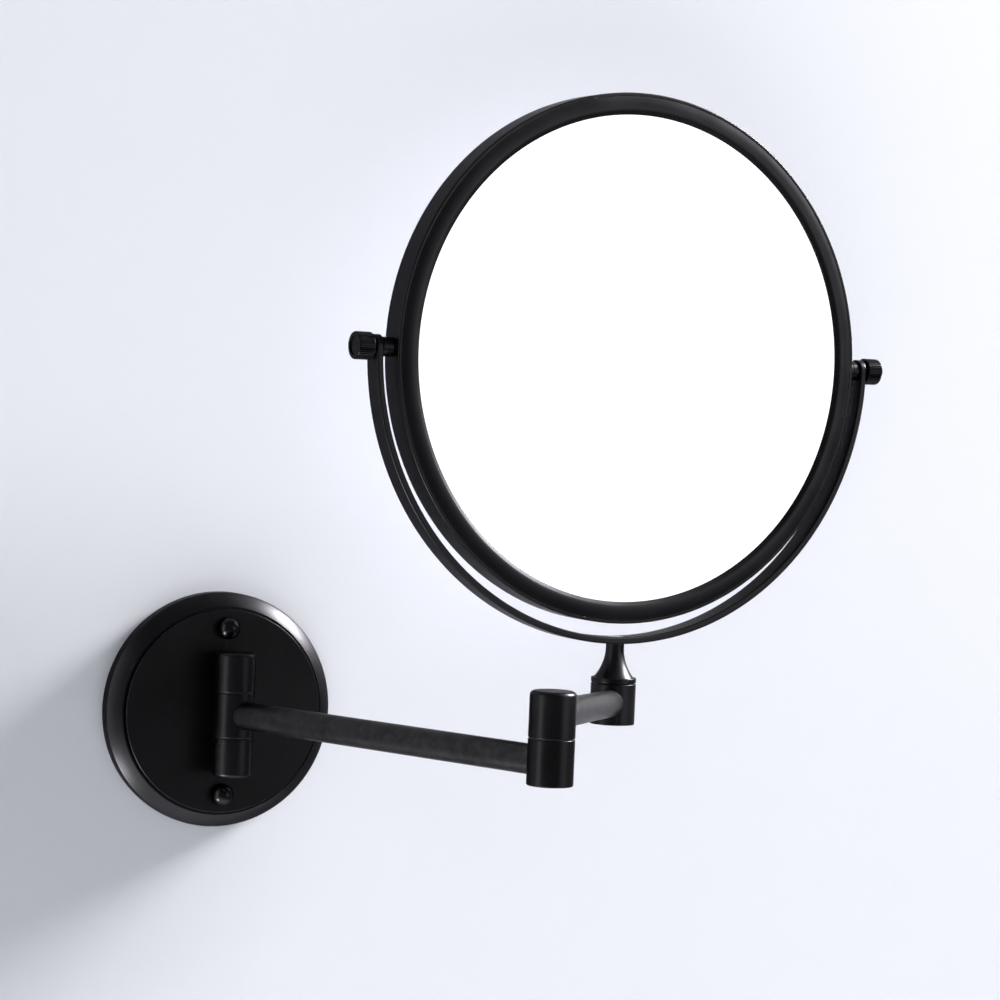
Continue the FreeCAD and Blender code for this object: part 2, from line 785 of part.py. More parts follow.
def mirror(place):
    """place sets the mirror's local Z along the flat glass's outward normal."""
    back = place * Placement(HERE, Rotation(X_AXIS, 180))
    depth = value("band_half_depth")
    band = turned("band_turned", [
        ("band_inner_radius", "0"),
        ("frame_radius - band_edge", "0"),
        ("frame_radius", "band_edge"),
        ("frame_radius", "band_half_depth + band_half_depth - band_edge"),
        ("frame_radius - band_edge", "band_half_depth + band_half_depth"),
        ("band_inner_radius", "band_half_depth + band_half_depth"),
    ])
    level = Vector(0, 0, depth)
    way = rod("band_holes", "boss_stem_hole", "0 - yoke_radius", "yoke_radius",
              level, X_AXIS)
    keep(cut("frame_band", band, way), "frame_band",
         place * Placement(-level, Rotation()))

    core = turned("core_turned", [
        ("core_inner_radius", "0"),
        ("core_outer_radius", "0"),
        ("core_outer_radius", "core_half_depth + core_half_depth"),
        ("core_inner_radius", "core_half_depth + core_half_depth"),
    ])
    level = Vector(0, 0, value("core_half_depth"))
    way = rod("core_holes", "boss_stem_hole", "0 - yoke_radius", "yoke_radius",
              level, X_AXIS)
    keep(cut("frame_core", core, way), "frame_core",
         place * Placement(-level, Rotation()))

    keep(bezel("front_bezel"), "front_bezel", place)
    keep(bezel("back_bezel"), "back_bezel", back)

    flat = turned("flat_glass", [
        ("0", "glass_back"),
        ("glass_radius", "glass_back"),
        ("glass_radius", "glass_front"),
        ("0", "glass_front"),
    ])
    keep(flat, "flat_glass", place)
    level = value("glass_front - curved_thickness - curved_rise")
    keep(curved_glass(), "magnifying_glass", back * upright(0, 0, level))
    board = turned("backing_board", [
        ("0", "backing_back"),
        ("backing_radius", "backing_back"),
        ("backing_radius", "backing_front"),
        ("0", "backing_front"),
    ])
    keep(board, "backing_board", place)

    sideways = Rotation(Y_AXIS, 90)
    boss = turned("pivot_boss", [
        ("0", "boss_start"),
        ("boss_stem_radius", "boss_start"),
        ("boss_stem_radius", "frame_radius + washer_gap"),
        ("boss_radius", "frame_radius + washer_gap"),
        ("boss_radius", "boss_end - edge_break"),
        ("boss_radius - edge_break", "boss_end"),
        ("boss_bore_radius", "boss_end"),
        ("boss_bore_radius", "boss_bore_start"),
        ("0", "boss_bore_start"),
    ])
    boss.Placement = Placement(HERE, sideways)
    keep(pair("pivot_bosses", boss, HERE, X_AXIS), "pivot_bosses", place)

    for label, turn in (("knob_right", 90), ("knob_left", -90)):
        keep(knob(label), label, place * Placement(HERE, Rotation(Y_AXIS, turn)))


def knob(label):
    """A thumb screw along local Z, its thread towards the mirror, its grip outside."""
    neck, rim = "yoke_radius + knob_gap", "yoke_radius + knob_gap + knob_neck"
    end = "yoke_radius + knob_gap + knob_length"
    body = turned(label, [
        ("0", "knob_screw_start"),
        ("knob_screw_radius", "knob_screw_start"),
        ("knob_screw_radius", neck),
        ("knob_neck_radius", neck),
        ("knob_neck_radius", rim),
        ("knob_radius - edge_break", rim),
        ("knob_radius", f"{rim} + edge_break"),
        ("knob_radius", f"{end} - knob_edge", "knob_edge", -1),
        ("knob_radius - knob_edge", end),
        ("knob_recess_radius", end),
        ("knob_recess_radius", f"{end} - knob_recess"),
        ("0", f"{end} - knob_recess"),
    ])
    DOC.recompute()
    plain_volume = body.Shape.Volume
    groove = attached_sketch(body, f"{label}_groove", "XY_Plane")
    centre = Vector(value("knob_radius"), 0, 0)
    circle = groove.addGeometry(Part.Circle(centre, Z_AXIS, value("knurl_radius")), False)
    groove.addConstraint(Sketcher.Constraint("PointOnObject", circle, 3, -1))
    for constraint, text in (
        (Sketcher.Constraint("DistanceX", -1, 1, circle, 3, centre.x), "knob_radius"),
        (Sketcher.Constraint("Radius", circle, value("knurl_radius")), "knurl_radius"),
    ):
        index = groove.addConstraint(constraint)
        groove.setExpression(f"Constraints[{index}]", expression(text))
    pocket = body.newObject("PartDesign::Pocket", f"{label}_groove_cut")
    pocket.Profile = groove
    pocket.Reversed = True
    pocket.Type = "ThroughAll"
    DOC.recompute()
    pattern = body.newObject("PartDesign::PolarPattern", f"{label}_knurl")
    pattern.Originals = [pocket]
    pattern.Axis = (origin_plane(body, "Z_Axis"), [""])
    pattern.Angle = 360
    bind(pattern, Occurrences="knurl_count")
    body.Tip = pattern
    DOC.recompute()
    if body.Shape.Volume >= plain_volume:
        raise ValueError(f"{label}: the knurl cuts nothing")
    return body


# ---------------------------------------------------------------- assembly

def build():
    make_sheet()
    inner, outer = value("inner_arm_angle"), value("outer_arm_angle")
    length = value("arm_length")
    hinge = Vector(0, -value("hinge_offset"), 0)
    elbow = hinge + Rotation(Z_AXIS, inner).multVec(X_AXIS) * length
    head = elbow + Rotation(Z_AXIS, outer).multVec(X_AXIS) * length
    slope = Vector(length, 0, -value("outer_arm_fall")).normalize()

    wall_plate()
    wall_bracket()
    wall_studs()
    dome_nuts()
    hinge_ear("hinge_upper_ear", True)
    hinge_ear("hinge_lower_ear", False)
    hinge_pin()
    ear_screws()
    hinge_washers()

    inner_arm(Placement(hinge, Rotation(Z_AXIS, inner)))
    outer_place = Placement(elbow, Rotation(Z_AXIS, outer))
    head_lift = Vector(0, 0, value("head_level"))
    outer_arm(outer_place, Placement(head + head_lift, Rotation(Z_AXIS, outer)), slope)

    turn = Rotation(Z_AXIS, value("yoke_angle"))
    pivot = head + Vector(0, 0, value("pivot_level"))
    yoke(Placement(head + head_lift, turn), Placement(pivot, turn))
    mirror(Placement(pivot, turn * Rotation(X_AXIS, value("mirror_angle"))))
    DOC.recompute()


def check_and_export():
    for item in DOC.Objects:
        if "Invalid" in item.State or "Error" in item.State:
            raise ValueError(f"{item.Name} failed: {item.State}")
    for piece in PIECES:
        shape = piece.Shape
        if shape.isNull() or not shape.isValid() or not shape.Solids:
            raise ValueError(f"{piece.Label} has no valid solid")
    os.makedirs("parts", exist_ok=True)
    for piece in PIECES:
        piece.Shape.exportStep(f"parts/{piece.Label}.step")
        print(piece.Label, len(piece.Shape.Solids), round(piece.Shape.Volume, 1))


build()
check_and_export()
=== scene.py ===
import json
from math import atan2, cos, pi, radians, sin

import bpy
from bpy.props import (
    FloatProperty,
    FloatVectorProperty,
    IntProperty,
    PointerProperty,
)
from mathutils import Matrix, Vector


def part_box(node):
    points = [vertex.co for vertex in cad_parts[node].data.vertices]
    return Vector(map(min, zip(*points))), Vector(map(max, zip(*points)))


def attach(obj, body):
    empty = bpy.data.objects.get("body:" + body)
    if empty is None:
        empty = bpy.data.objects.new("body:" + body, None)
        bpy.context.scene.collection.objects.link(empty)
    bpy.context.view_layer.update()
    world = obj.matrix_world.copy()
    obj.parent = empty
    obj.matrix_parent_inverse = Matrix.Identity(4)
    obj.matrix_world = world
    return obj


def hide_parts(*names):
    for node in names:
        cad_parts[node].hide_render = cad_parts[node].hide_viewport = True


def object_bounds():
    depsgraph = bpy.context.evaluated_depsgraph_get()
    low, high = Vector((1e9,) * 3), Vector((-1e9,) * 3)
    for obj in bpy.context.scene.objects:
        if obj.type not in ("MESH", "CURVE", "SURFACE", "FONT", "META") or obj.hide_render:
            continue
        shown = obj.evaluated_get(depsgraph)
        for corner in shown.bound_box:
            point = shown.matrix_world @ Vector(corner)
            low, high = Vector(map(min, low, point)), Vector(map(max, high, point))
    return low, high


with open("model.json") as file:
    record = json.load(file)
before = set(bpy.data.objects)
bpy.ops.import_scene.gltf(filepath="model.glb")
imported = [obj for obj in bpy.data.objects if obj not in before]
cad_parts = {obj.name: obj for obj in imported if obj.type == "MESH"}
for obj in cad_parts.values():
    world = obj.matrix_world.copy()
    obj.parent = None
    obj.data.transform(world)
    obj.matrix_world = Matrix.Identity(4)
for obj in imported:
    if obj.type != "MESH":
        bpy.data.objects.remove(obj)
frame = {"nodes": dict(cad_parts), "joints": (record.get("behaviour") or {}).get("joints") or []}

bl_info = {
    "name": "Swing-arm wall mirror",
    "version": (1, 0, 0),
    "blender": (4, 5, 0),
    "location": "3D View > Sidebar > Wall mirror",
    "description": "Dresses a wall mirror on a folding double arm in its finished metalwork",
    "category": "Object",
}

MM = 0.001
NODES = frame["nodes"]
JOINTS = {joint["name"]: joint for joint in frame["joints"]}
CAD_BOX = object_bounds()

RIGHT = Vector((1, 0, 0))
UP = Vector((0, 0, 1))
OUT_OF_WALL = Vector((0, -1, 0))


# ---------------------------------------------------------------- places

def joint_point(name):
    return Vector(JOINTS[name]["pos_m"])


def standing(origin, along, side):
    """A place with local Z running along one direction and local X close to another."""
    along = Vector(along).normalized()
    side = Vector(side)
    side = (side - along * side.dot(along)).normalized()
    turn = Matrix((side, along.cross(side), along)).transposed()
    return Matrix.Translation(origin) @ turn.to_4x4()


def box_size(name):
    low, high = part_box(name)
    return high - low


def half_width(name):
    return box_size(name).x / 2


def levels(name):
    """The lowest and the highest Z of a CAD node."""
    return [corner.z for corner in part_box(name)]


HINGE = joint_point("wall_swivel")
ELBOW = joint_point("elbow_swivel")
HEAD = joint_point("head_swivel")
PIVOT = joint_point("mirror_tilt")
PIVOT_AXIS = Vector(JOINTS["mirror_tilt"]["axis"]).normalized()
INNER_ARM = (ELBOW - HINGE).normalized()


def glass_normal():
    """The direction that the flat glass faces: that of its largest face, towards the room."""
    faces = NODES["flat_glass"].data.polygons
    normal = max(faces, key=lambda face: face.area).normal.copy()
    return normal if normal.y < 0 else -normal


FACING = glass_normal()
ON_WALL = standing(Vector(), OUT_OF_WALL, RIGHT)
ON_MIRROR = standing(PIVOT, FACING, PIVOT_AXIS)


# ---------------------------------------------------------------- settings

def size(name, description, default, lowest=0.0):
    return FloatProperty(name=name, description=description, default=default, min=lowest,
                         precision=5, subtype="DISTANCE", unit="LENGTH")


def angle(name, description, degrees):
    return FloatProperty(name=name, description=description, default=radians(degrees),
                         subtype="ANGLE", unit="ROTATION")


def amount(name, description, default, highest=1.0):
    return FloatProperty(name=name, description=description, default=default, min=0.0,
                         max=highest, precision=4)


def colour(name, description, default):
    return FloatVectorProperty(name=name, description=description, default=default,
                               size=3, min=0.0, max=1.0, subtype="COLOR")


def position(name, description, default):
    return FloatVectorProperty(name=name, description=description, default=default,
                               size=3, precision=4, subtype="TRANSLATION", unit="LENGTH")


def panel(name, across, high):
    return FloatVectorProperty(name=name, description="Width and height of the lamp",
                               default=(across, high), size=2, min=0.0, unit="LENGTH")


def watts(name, description, default):
    return FloatProperty(name=name, description=description, default=default, min=0.0,
                         subtype="POWER", unit="POWER")


def count(name, description, default):
    return IntProperty(name=name, description=description, default=default, min=3)


class PlateSettings(bpy.types.PropertyGroup):
    """Sizes of the wall plate and of its domed nuts."""
    face_radius: size("Face radius", "Radius of the raised flat face", 39.7 * MM)
    face_round: size("Face rounding", "Rounding of the raised face's edge", 0.45 * MM)
    bevel_top: size("Bevel top radius", "Radius where the flange meets the groove", 40.6 * MM)
    bevel_round: size("Flange rounding", "Rounding of the flange's inner edge", 0.25 * MM)
    groove_level: size("Groove level", "Height of the groove's floor above the wall", 9.0 * MM)
    bevel_level: size("Bevel top level", "Height of the flange's inner edge", 9.5 * MM)
    bevel_curve: size("Flange curve", "Radius of the sloped flange's swell", 34.0 * MM)
    rim_height: size("Rim height", "Height of the upright rim on the wall", 5.0 * MM)
    rim_round: size("Rim rounding", "Rounding between the flange and the rim", 0.6 * MM)
    wall_round: size("Wall rounding", "Rounding of the edges on the wall", 0.2 * MM)
    hollow_depth: size("Hollow depth", "Depth of the hollow behind the face", 9.0 * MM)
    hollow_radius: size("Hollow radius", "Radius of the hollow at the wall", 43.8 * MM)
    hollow_lip: size("Hollow lip", "Height of the hollow's upright lip", 1.4 * MM)
    hollow_round: size("Hollow rounding", "Rounding of the hollow's inner edge", 0.5 * MM)
    hollow_top: size("Hollow top radius", "Radius of the hollow behind the face", 37.8 * MM)
    stud_offset: size("Stud offset", "Distance of each domed nut from the centre", 32.5 * MM)
    stud_hole: size("Stud hole radius", "Radius of the holes for the studs", 2.15 * MM)
    ear_screw_offset: size("Hinge screw offset", "Distance of the hinge screws from the centre", 16.5 * MM)
    screw_hole: size("Screw hole radius", "Radius of the holes for the hinge screws", 2.1 * MM)
    dome_bore: size("Dome bore radius", "Radius of the nut's blind bore", 2.05 * MM)
    dome_bore_rise: amount("Dome bore rise", "How far the bore goes into the dome", 0.66)
    dome_round: size("Dome rounding", "Rounding of the nut's foot", 0.25 * MM)
    sides: count("Sides", "Sides round the plate", 192)


class BarrelSettings(bpy.types.PropertyGroup):
    """Sizes that the hinge, elbow and head barrels share."""
    joint_round: size("Joint rounding", "Rounding where two barrels meet", 0.3 * MM)
    end_round: size("End rounding", "Rounding of the elbow's upper end", 1.7 * MM)
    knuckle_round: size("Knuckle rounding", "Rounding of a hinge knuckle's free end", 1.6 * MM)
    foot_round: size("Foot rounding", "Rounding of the elbow's lower end", 0.5 * MM)
    lip_round: size("Lip rounding", "Rounding of the sharp lips at the head", 0.3 * MM)
    groove_width: size("Groove width", "Width of a turned decorative groove", 0.35 * MM)
    groove_depth: size("Groove depth", "Depth of a turned decorative groove", 0.22 * MM)
    groove_step: size("Groove spacing", "Spacing of the grooves on the lower ear", 1.1 * MM)
    pin_bore: size("Pin bore radius", "Bore for the hinge pin and the bolts", 3.06 * MM)
    neck_half_width: size("Neck half width", "Half the width of a hinge ear's neck", 4.5 * MM)
    neck_foot: size("Neck foot", "Lower edge of the neck above the ear's end", 0.8 * MM)
    neck_top: size("Neck top", "Upper edge of the neck above the ear's end", 13.0 * MM)
    neck_round: size("Neck rounding", "Rounding of the neck's edges", 0.4 * MM)
    neck_length: size("Neck length", "Length of the neck from the plate", 5.6 * MM)
    screw_depth: size("Screw depth", "Depth of the screw hole in a neck", 7.04 * MM)
    pin_gap: size("Pin gap", "Gap above the hinge pin's end", 0.1 * MM)
    socket_radius: size("Socket radius", "Radius of the sockets for the tubes", 5.44 * MM)
    hinge_socket: size("Hinge socket", "Distance from the hinge to the tube's socket", 4.8 * MM)
    elbow_socket: size("Elbow socket", "Distance from the elbow to a tube's socket", 5.2 * MM)
    head_socket: size("Head socket", "Distance from the head to the tube's socket", 6.4 * MM)
    bolt_hole: size("Bolt hole radius", "Hole for the elbow bolt's thread", 2.55 * MM)
    bolt_head: size("Bolt head bore", "Bore for the elbow bolt's head", 4.5 * MM)
    bolt_seat: size("Bolt seat", "Height of the bolt's seat above the joint", 10.2 * MM)
    bolt_gap: size("Bolt gap", "Gap below the elbow bolt's end", 1.0 * MM)
    cap_gap: size("Cap gap", "Gap round and below the elbow's cap", 0.05 * MM)
    cap_round: size("Cap rounding", "Rounding of the cap's upper edge", 0.2 * MM)
    retainer_gap: size("Retainer gap", "Gap above the retaining washer", 0.15 * MM)
    retainer_recess: size("Retainer recess", "Bore for the retaining washer", 6.2 * MM)
    spindle_bore: size("Spindle bore", "Bore for the stem's spindle", 4.06 * MM)
    outer_arm_level: size("Outer arm level", "Height of the outer tube at the elbow", 16.5 * MM)
    outer_arm_fall: size("Outer arm fall", "How far the outer tube falls to the head", 10.9 * MM)
    sides: count("Sides", "Sides round a barrel", 96)


class YokeSettings(bpy.types.PropertyGroup):
    """Sizes of the half ring and of the stem that carries it."""
    outer_radius: size("Outer radius", "Outer radius of the half ring", 114.3 * MM)
    inner_radius: size("Inner radius", "Inner radius of the half ring", 111.5 * MM)
    half_width: size("Half width", "Half the width of the strip", 4.7 * MM)
    edge_round: size("Edge rounding", "Rounding along the strip's edges", 0.7 * MM)
    pivot_hole: size("Pivot hole radius", "Hole for the thumb screw", 2.08 * MM)
    washer_gap: size("Washer gap", "Gap between the washer and the collar", 0.05 * MM)
    collar_round: size("Collar rounding", "Rounding of the collar's upper edge", 0.35 * MM)
    lower_round: size("Lower rounding", "Rounding of the stem's lower edges", 0.3 * MM)
    collar_height: size("Collar height", "Height of the stem's collar", 2.0 * MM)
    flare_radius: size("Flare radius", "Radius of the stem above its collar", 8.0 * MM)
    neck_radius: size("Neck radius", "Radius of the stem under the half ring", 3.7 * MM)
    flare_curve: size("Flare curve", "Radius of the flare's hollow curve", 19.0 * MM)
    spindle_radius: size("Spindle radius", "Radius of the spindle in the head barrel", 4.0 * MM)
    head_screw_hole: size("Head screw hole", "Hole in the spindle's foot", 2.05 * MM)
    screw_hole: size("Screw hole", "Hole for the half ring's screw", 1.95 * MM)
    screw_hole_depth: size("Screw hole depth", "Depth of the stem's holes", 8.0 * MM)
    screw_seat: size("Screw seat", "Radius of the seat for the screw's head", 3.6 * MM)
    seat_depth: size("Seat depth", "Depth of the seat for the screw's head", 1.5 * MM)
    steps: count("Steps", "Steps along the half ring", 128)


class FrameSettings(bpy.types.PropertyGroup):
    """Sizes of the mirror's round frame."""
    radius: size("Radius", "Outer radius of the band", 106.0 * MM)
    band_inner: size("Band inner radius", "Inner radius of the band", 104.8 * MM)
    half_depth: size("Half depth", "Half the depth of the band", 6.1 * MM)
    band_round: size("Band rounding", "Rounding of the band's outer edges", 0.6 * MM)
    bezel_outer: size("Bezel outer radius", "Outer radius of a bezel", 104.72 * MM)
    crest_radius: size("Crest radius", "Radius of the bezel's highest line", 99.1 * MM)
    crest: size("Crest", "Height of the bezel's crest from the middle", 6.8 * MM)
    crest_round: size("Crest rounding", "Rounding of the bezel's crest", 0.7 * MM)
    crown_curve: size("Crown curve", "Radius of the bezel's outer slope", 17.0 * MM)
    bezel_side: size("Bezel side", "Height where the outer slope starts", 6.0 * MM)
    bezel_back: size("Bezel back", "Height of the bezel's back", 5.0 * MM)
    lip_radius: size("Lip radius", "Radius of the step that holds the glass", 99.8 * MM)
    window: size("Window radius", "Radius of the visible glass", 97.2 * MM)
    window_round: size("Window rounding", "Rounding of the bezel's inner edge", 0.12 * MM)
    window_lip: size("Window lip", "Thickness of the bezel's inner edge", 0.3 * MM)
    glass_front: size("Glass front", "Height of the glass from the middle", 5.55 * MM)
    boss_way: size("Boss way", "Radius of the band's holes for the bosses", 3.05 * MM)
    boss_start: size("Boss start", "Distance of a boss's root from the centre", 101.0 * MM)
    boss_stem: size("Boss stem", "Radius of a boss inside the band", 3.0 * MM)
    boss_bore: size("Boss bore", "Radius of the bore for the thumb screw", 2.08 * MM)
    boss_radius: size("Boss radius", "Radius of the bosses at the pivots", 3.8 * MM)
    boss_gap: size("Boss gap", "Gap between the band and a boss's shoulder", 0.05 * MM)
    boss_root_round: size("Boss root rounding", "Rounding of a boss's shoulder", 0.15 * MM)
    boss_end_round: size("Boss end rounding", "Rounding of a boss's end", 0.3 * MM)
    boss_room: size("Boss room", "Room past the tip of the thumb screw", 0.5 * MM)
    boss_end: size("Boss end", "Distance of a boss's end from the centre", 111.2 * MM)
    sides: count("Sides", "Sides round the frame", 256)


class KnobSettings(bpy.types.PropertyGroup):
    """Sizes of the knurled thumb screws."""
    radius: size("Radius", "Radius of the grip", 5.4 * MM)
    length: size("Length", "Length of the knob outside the half ring", 7.6 * MM)
    gap: size("Gap", "Gap between the half ring and the knob", 0.3 * MM)
    neck_radius: size("Neck radius", "Radius of the neck next to the half ring", 3.6 * MM)
    neck: size("Neck", "Length of the neck", 0.7 * MM)
    edge_round: size("Edge rounding", "Rounding of the grip's outer edge", 0.7 * MM)
    back_round: size("Back rounding", "Rounding of the grip's inner edge", 0.35 * MM)
    dish_round: size("Dish rounding", "Rounding of the dish's edge", 0.12 * MM)
    dish_radius: size("Dish radius", "Radius of the dish in the end", 3.7 * MM)
    dish: size("Dish depth", "Depth of the dish in the end", 0.5 * MM)
    screw_radius: size("Screw radius", "Radius of the knob's screw", 2.0 * MM)
    screw_start: size("Screw start", "Distance of the screw's tip from the centre", 103.6 * MM)
    tip_round: size("Tip rounding", "Rounding of the screw's tip", 0.3 * MM)
    grooves: count("Grooves", "Grooves of the knurl", 40)
    groove_depth: size("Groove depth", "Depth of a groove of the knurl", 0.3 * MM)


class FinishSettings(bpy.types.PropertyGroup):
    """Colours and surfaces of the materials."""
    black: colour("Black", "Satin black paint of the metalwork", (0.0200, 0.0196, 0.0212))
    edge: colour("Glancing black", "How bright the black paint is when seen askew", (0.50, 0.50, 0.50))
    # Paler colour along convex edges: partly paint thinned by wear, partly a painted highlight standing in
    # for the light that edges catch.
    worn_and_glint: colour("Thinned edge and glint", "Paint where it has thinned along an edge", (0.110, 0.106, 0.104))
    dust: colour("Dust", "Dust that settles on upper surfaces", (0.16, 0.155, 0.15))
    sheen: amount("Paint roughness", "Roughness of the satin paint", 0.33)
    zinc: colour("Zinc", "Zinc plate of the hidden hardware", (0.56, 0.57, 0.55))
    steel: colour("Steel", "Ground steel of pin and bolt", (0.60, 0.60, 0.59))
    nylon: colour("Nylon", "Nylon washers", (0.022, 0.022, 0.022))
    silver: colour("Silvering", "Reflection of the silvered glass", (0.955, 0.965, 0.965))
    core: colour("Core", "Moulded core and board inside the frame", (0.045, 0.045, 0.045))
    grain: size("Paint grain", "Size of the grain in the paint", 0.55 * MM)


class StageSettings(bpy.types.PropertyGroup):
    """The wall, the floor, the lamps and the camera."""
    wall: colour("Wall", "Colour of the painted wall", (0.83, 0.84, 0.90))
    floor: colour("Floor", "Colour of the floor", (0.80, 0.81, 0.83))
    surround: colour("Surround", "Light of the room all round", (0.93, 0.95, 1.0))
    surround_light: amount("Surround strength", "Strength of the room's light", 0.22, 4.0)
    floor_drop: size("Floor drop", "Distance of the floor below the plate", 1.0)
    floor_width: size("Floor width", "Width of the floor", 4.0)
    wall_width: size("Wall width", "Width of the wall", 0.96)
    wall_gap: size("Wall gap", "Gap between the wall and the plate's back", 0.2 * MM)
    wall_shift: size("Wall shift", "How far the wall lies to the mirror's right", -0.17, lowest=-1.0)
    wall_top: size("Wall top", "Height of the wall above the mirror's pivots", 0.65)
    key_spot: position("Key lamp's place", "Window to the right, near the wall's plane", (3.00, -0.26, 1.94))
    key_power: watts("Key lamp", "Power of the key lamp", 97.0)
    key_size: panel("Key lamp size", 0.18, 1.15)
    front_spot: position("Front lamp's place", "Soft lamp near the camera", (-1.05, -2.30, 0.30))
    front_power: watts("Front lamp", "Power of the front lamp", 5.0)
    front_size: panel("Front lamp size", 1.8, 1.3)
    right_spot: position("Right panel's place", "Panel that the glass reflects", (0.99, -1.22, 0.16))
    right_power: watts("Right panel", "Power of the right panel", 2.5)
    right_size: panel("Right panel size", 0.82, 0.82)
    left_spot: position("Left panel's place", "Narrow panel to the left", (-1.07, -0.25, 0.10))
    left_power: watts("Left panel", "Power of the left panel", 3.4)
    left_size: panel("Left panel size", 0.4, 1.2)
    low_spot: position("Low lamp's place", "Small lamp below and to the left", (-0.85, -0.18, -0.84))
    low_power: watts("Low lamp", "Power of the low lamp", 12.0)
    low_size: panel("Low lamp size", 0.25, 0.25)
    camera_turn: angle("Camera turn", "Camera's turn to the left of the wall's normal", 24.896)
    camera_dip: angle("Camera dip", "How far the camera looks down", 1.790)
    camera_roll: angle("Camera roll", "How far the camera leans", 2.421)
    camera_distance: size("Camera distance", "Distance from the point it looks at", 1.18345, lowest=0.1)
    camera_aim: position("Camera aim", "Point looked at, from the pivot line", (-0.0537, 0.0, -0.0579))
    camera_lens: FloatProperty(name="Camera lens", description="Focal length",
                               default=108.025, min=1.0, subtype="DISTANCE_CAMERA",
                               unit="CAMERA")


class MirrorSettings(bpy.types.PropertyGroup):
    """Everything that can be set on the wall mirror."""
    plate: PointerProperty(name="Plate", type=PlateSettings)
    barrel: PointerProperty(name="Barrels", type=BarrelSettings)
    yoke: PointerProperty(name="Yoke", type=YokeSettings)
    rim: PointerProperty(name="Frame", type=FrameSettings)
    knob: PointerProperty(name="Knobs", type=KnobSettings)
    finish: PointerProperty(name="Finish", type=FinishSettings)
    stage: PointerProperty(name="Stage", type=StageSettings)


def settings():
    return bpy.context.scene.wall_mirror


# ---------------------------------------------------------------- modelling

ROUND_STEPS = 5
SAME_SPOT = 1e-7
INSIDE, OUTSIDE = 0.9, 1.1  # where a drill starts and ends, as shares of the wall's radius


def object_mode():
    if bpy.context.object and bpy.context.object.mode != "OBJECT":
        bpy.ops.object.mode_set(mode="OBJECT")


def nothing_selected():
    object_mode()
    bpy.ops.object.select_all(action="DESELECT")


def activate(piece):
    """Make one piece the only selected and the active object."""
    nothing_selected()
    piece.select_set(True)
    bpy.context.view_layer.objects.active = piece


def edit_mode():
    bpy.ops.object.mode_set(mode="EDIT")
    bpy.ops.mesh.select_mode(type="VERT")


def edit_all():
    """Enter edit mode with everything selected."""
    edit_mode()
    bpy.ops.mesh.select_all(action="SELECT")


def pick(piece, wanted):
    """Select in edit mode the vertices whose place in the mesh is wanted."""
    object_mode()
    mesh = piece.data
    for parts in (mesh.edges, mesh.polygons):
        parts.foreach_set("select", [False] * len(parts))
    mesh.vertices.foreach_set("select", [bool(wanted(vertex.co)) for vertex in mesh.vertices])
    edit_mode()


def pick_spots(piece, spots):
    pick(piece, lambda co: any((co - spot).length < SAME_SPOT for spot in spots))


def drawn_outline(name, corners, closed):
    """Draw (across, along[, rounding]) corners as an outline in the XZ plane."""
    points = [Vector((corner[0], 0, corner[1])) for corner in corners]
    nothing_selected()
    bpy.ops.mesh.primitive_plane_add(size=MM)
    piece = bpy.context.object
    piece.name = name
    piece.data.name = name
    edit_all()
    bpy.ops.mesh.merge(type="CENTER")
    bpy.ops.transform.translate(value=points[0])
    for here, there in zip(points, points[1:]):
        bpy.ops.mesh.extrude_vertices_move(TRANSFORM_OT_translate={"value": there - here})
    if closed:
        pick_spots(piece, (points[0], points[-1]))
        bpy.ops.mesh.edge_face_add()
    for rounding in sorted({corner[2] for corner in corners if len(corner) > 2}):
        pick_spots(piece, [point for point, corner in zip(points, corners)
                           if len(corner) > 2 and corner[2] == rounding])
        bpy.ops.mesh.bevel(offset=rounding, segments=ROUND_STEPS, profile=0.5,
                           affect="VERTICES")
    return piece


def sweep(turn, steps):
    """Turn the outline about the local Z axis and merge what meets."""
    bpy.ops.mesh.select_all(action="SELECT")
    bpy.ops.mesh.spin(steps=steps, angle=turn, center=(0, 0, 0), axis=UP)
    bpy.ops.mesh.select_all(action="SELECT")
    bpy.ops.mesh.remove_doubles(threshold=SAME_SPOT)


def turned(name, corners, sides, closed=True):
    """Turn an outline about the local Z axis into a solid piece."""
    piece = drawn_outline(name, corners, closed)
    sweep(2 * pi, sides)
    bpy.ops.mesh.normals_make_consistent(inside=False)
    object_mode()
    return piece


def arc_points(start, end, radius, steps):
    """Points between two ends on an arc whose centre is to the right of the way there."""
    start, end = Vector(start), Vector(end)
    half = (end - start) / 2
    towards = Vector((half.y, -half.x)).normalized()
    centre = (start + end) / 2 + towards * (radius ** 2 - half.length_squared) ** 0.5
    first, last = (atan2(point.y, point.x) % (2 * pi) for point in (start - centre, end - centre))
    turns = [first + (last - first) * step / steps for step in range(1, steps)]
    return [(centre.x + radius * cos(turn), centre.y + radius * sin(turn)) for turn in turns]


def block(name, low, high, rounding):
    """A block between two corners, its upright and lying edges rounded."""
    low, high = Vector(low), Vector(high)
    nothing_selected()
    bpy.ops.mesh.primitive_cube_add(size=1.0)
    piece = bpy.context.object
    piece.name = name
    edit_all()
    bpy.ops.transform.resize(value=high - low, center_override=(0, 0, 0))
    bpy.ops.transform.translate(value=(low + high) / 2)
    bpy.ops.mesh.bevel(offset=rounding, segments=4, profile=0.5, affect="EDGES")
    object_mode()
    return piece


def combine(piece, tool, operation):
    """Join a tool to a piece or cut it away, and remove the tool."""
    before = len(piece.data.polygons)
    activate(piece)
    change = piece.modifiers.new(operation.title(), "BOOLEAN")
    change.operation = operation
    change.solver = "EXACT"
    change.object = tool
    bpy.ops.object.modifier_apply(modifier=change.name)
    if len(piece.data.polygons) == before:
        raise RuntimeError(f"{tool.name} does not meet {piece.name}")
    bpy.data.objects.remove(tool)


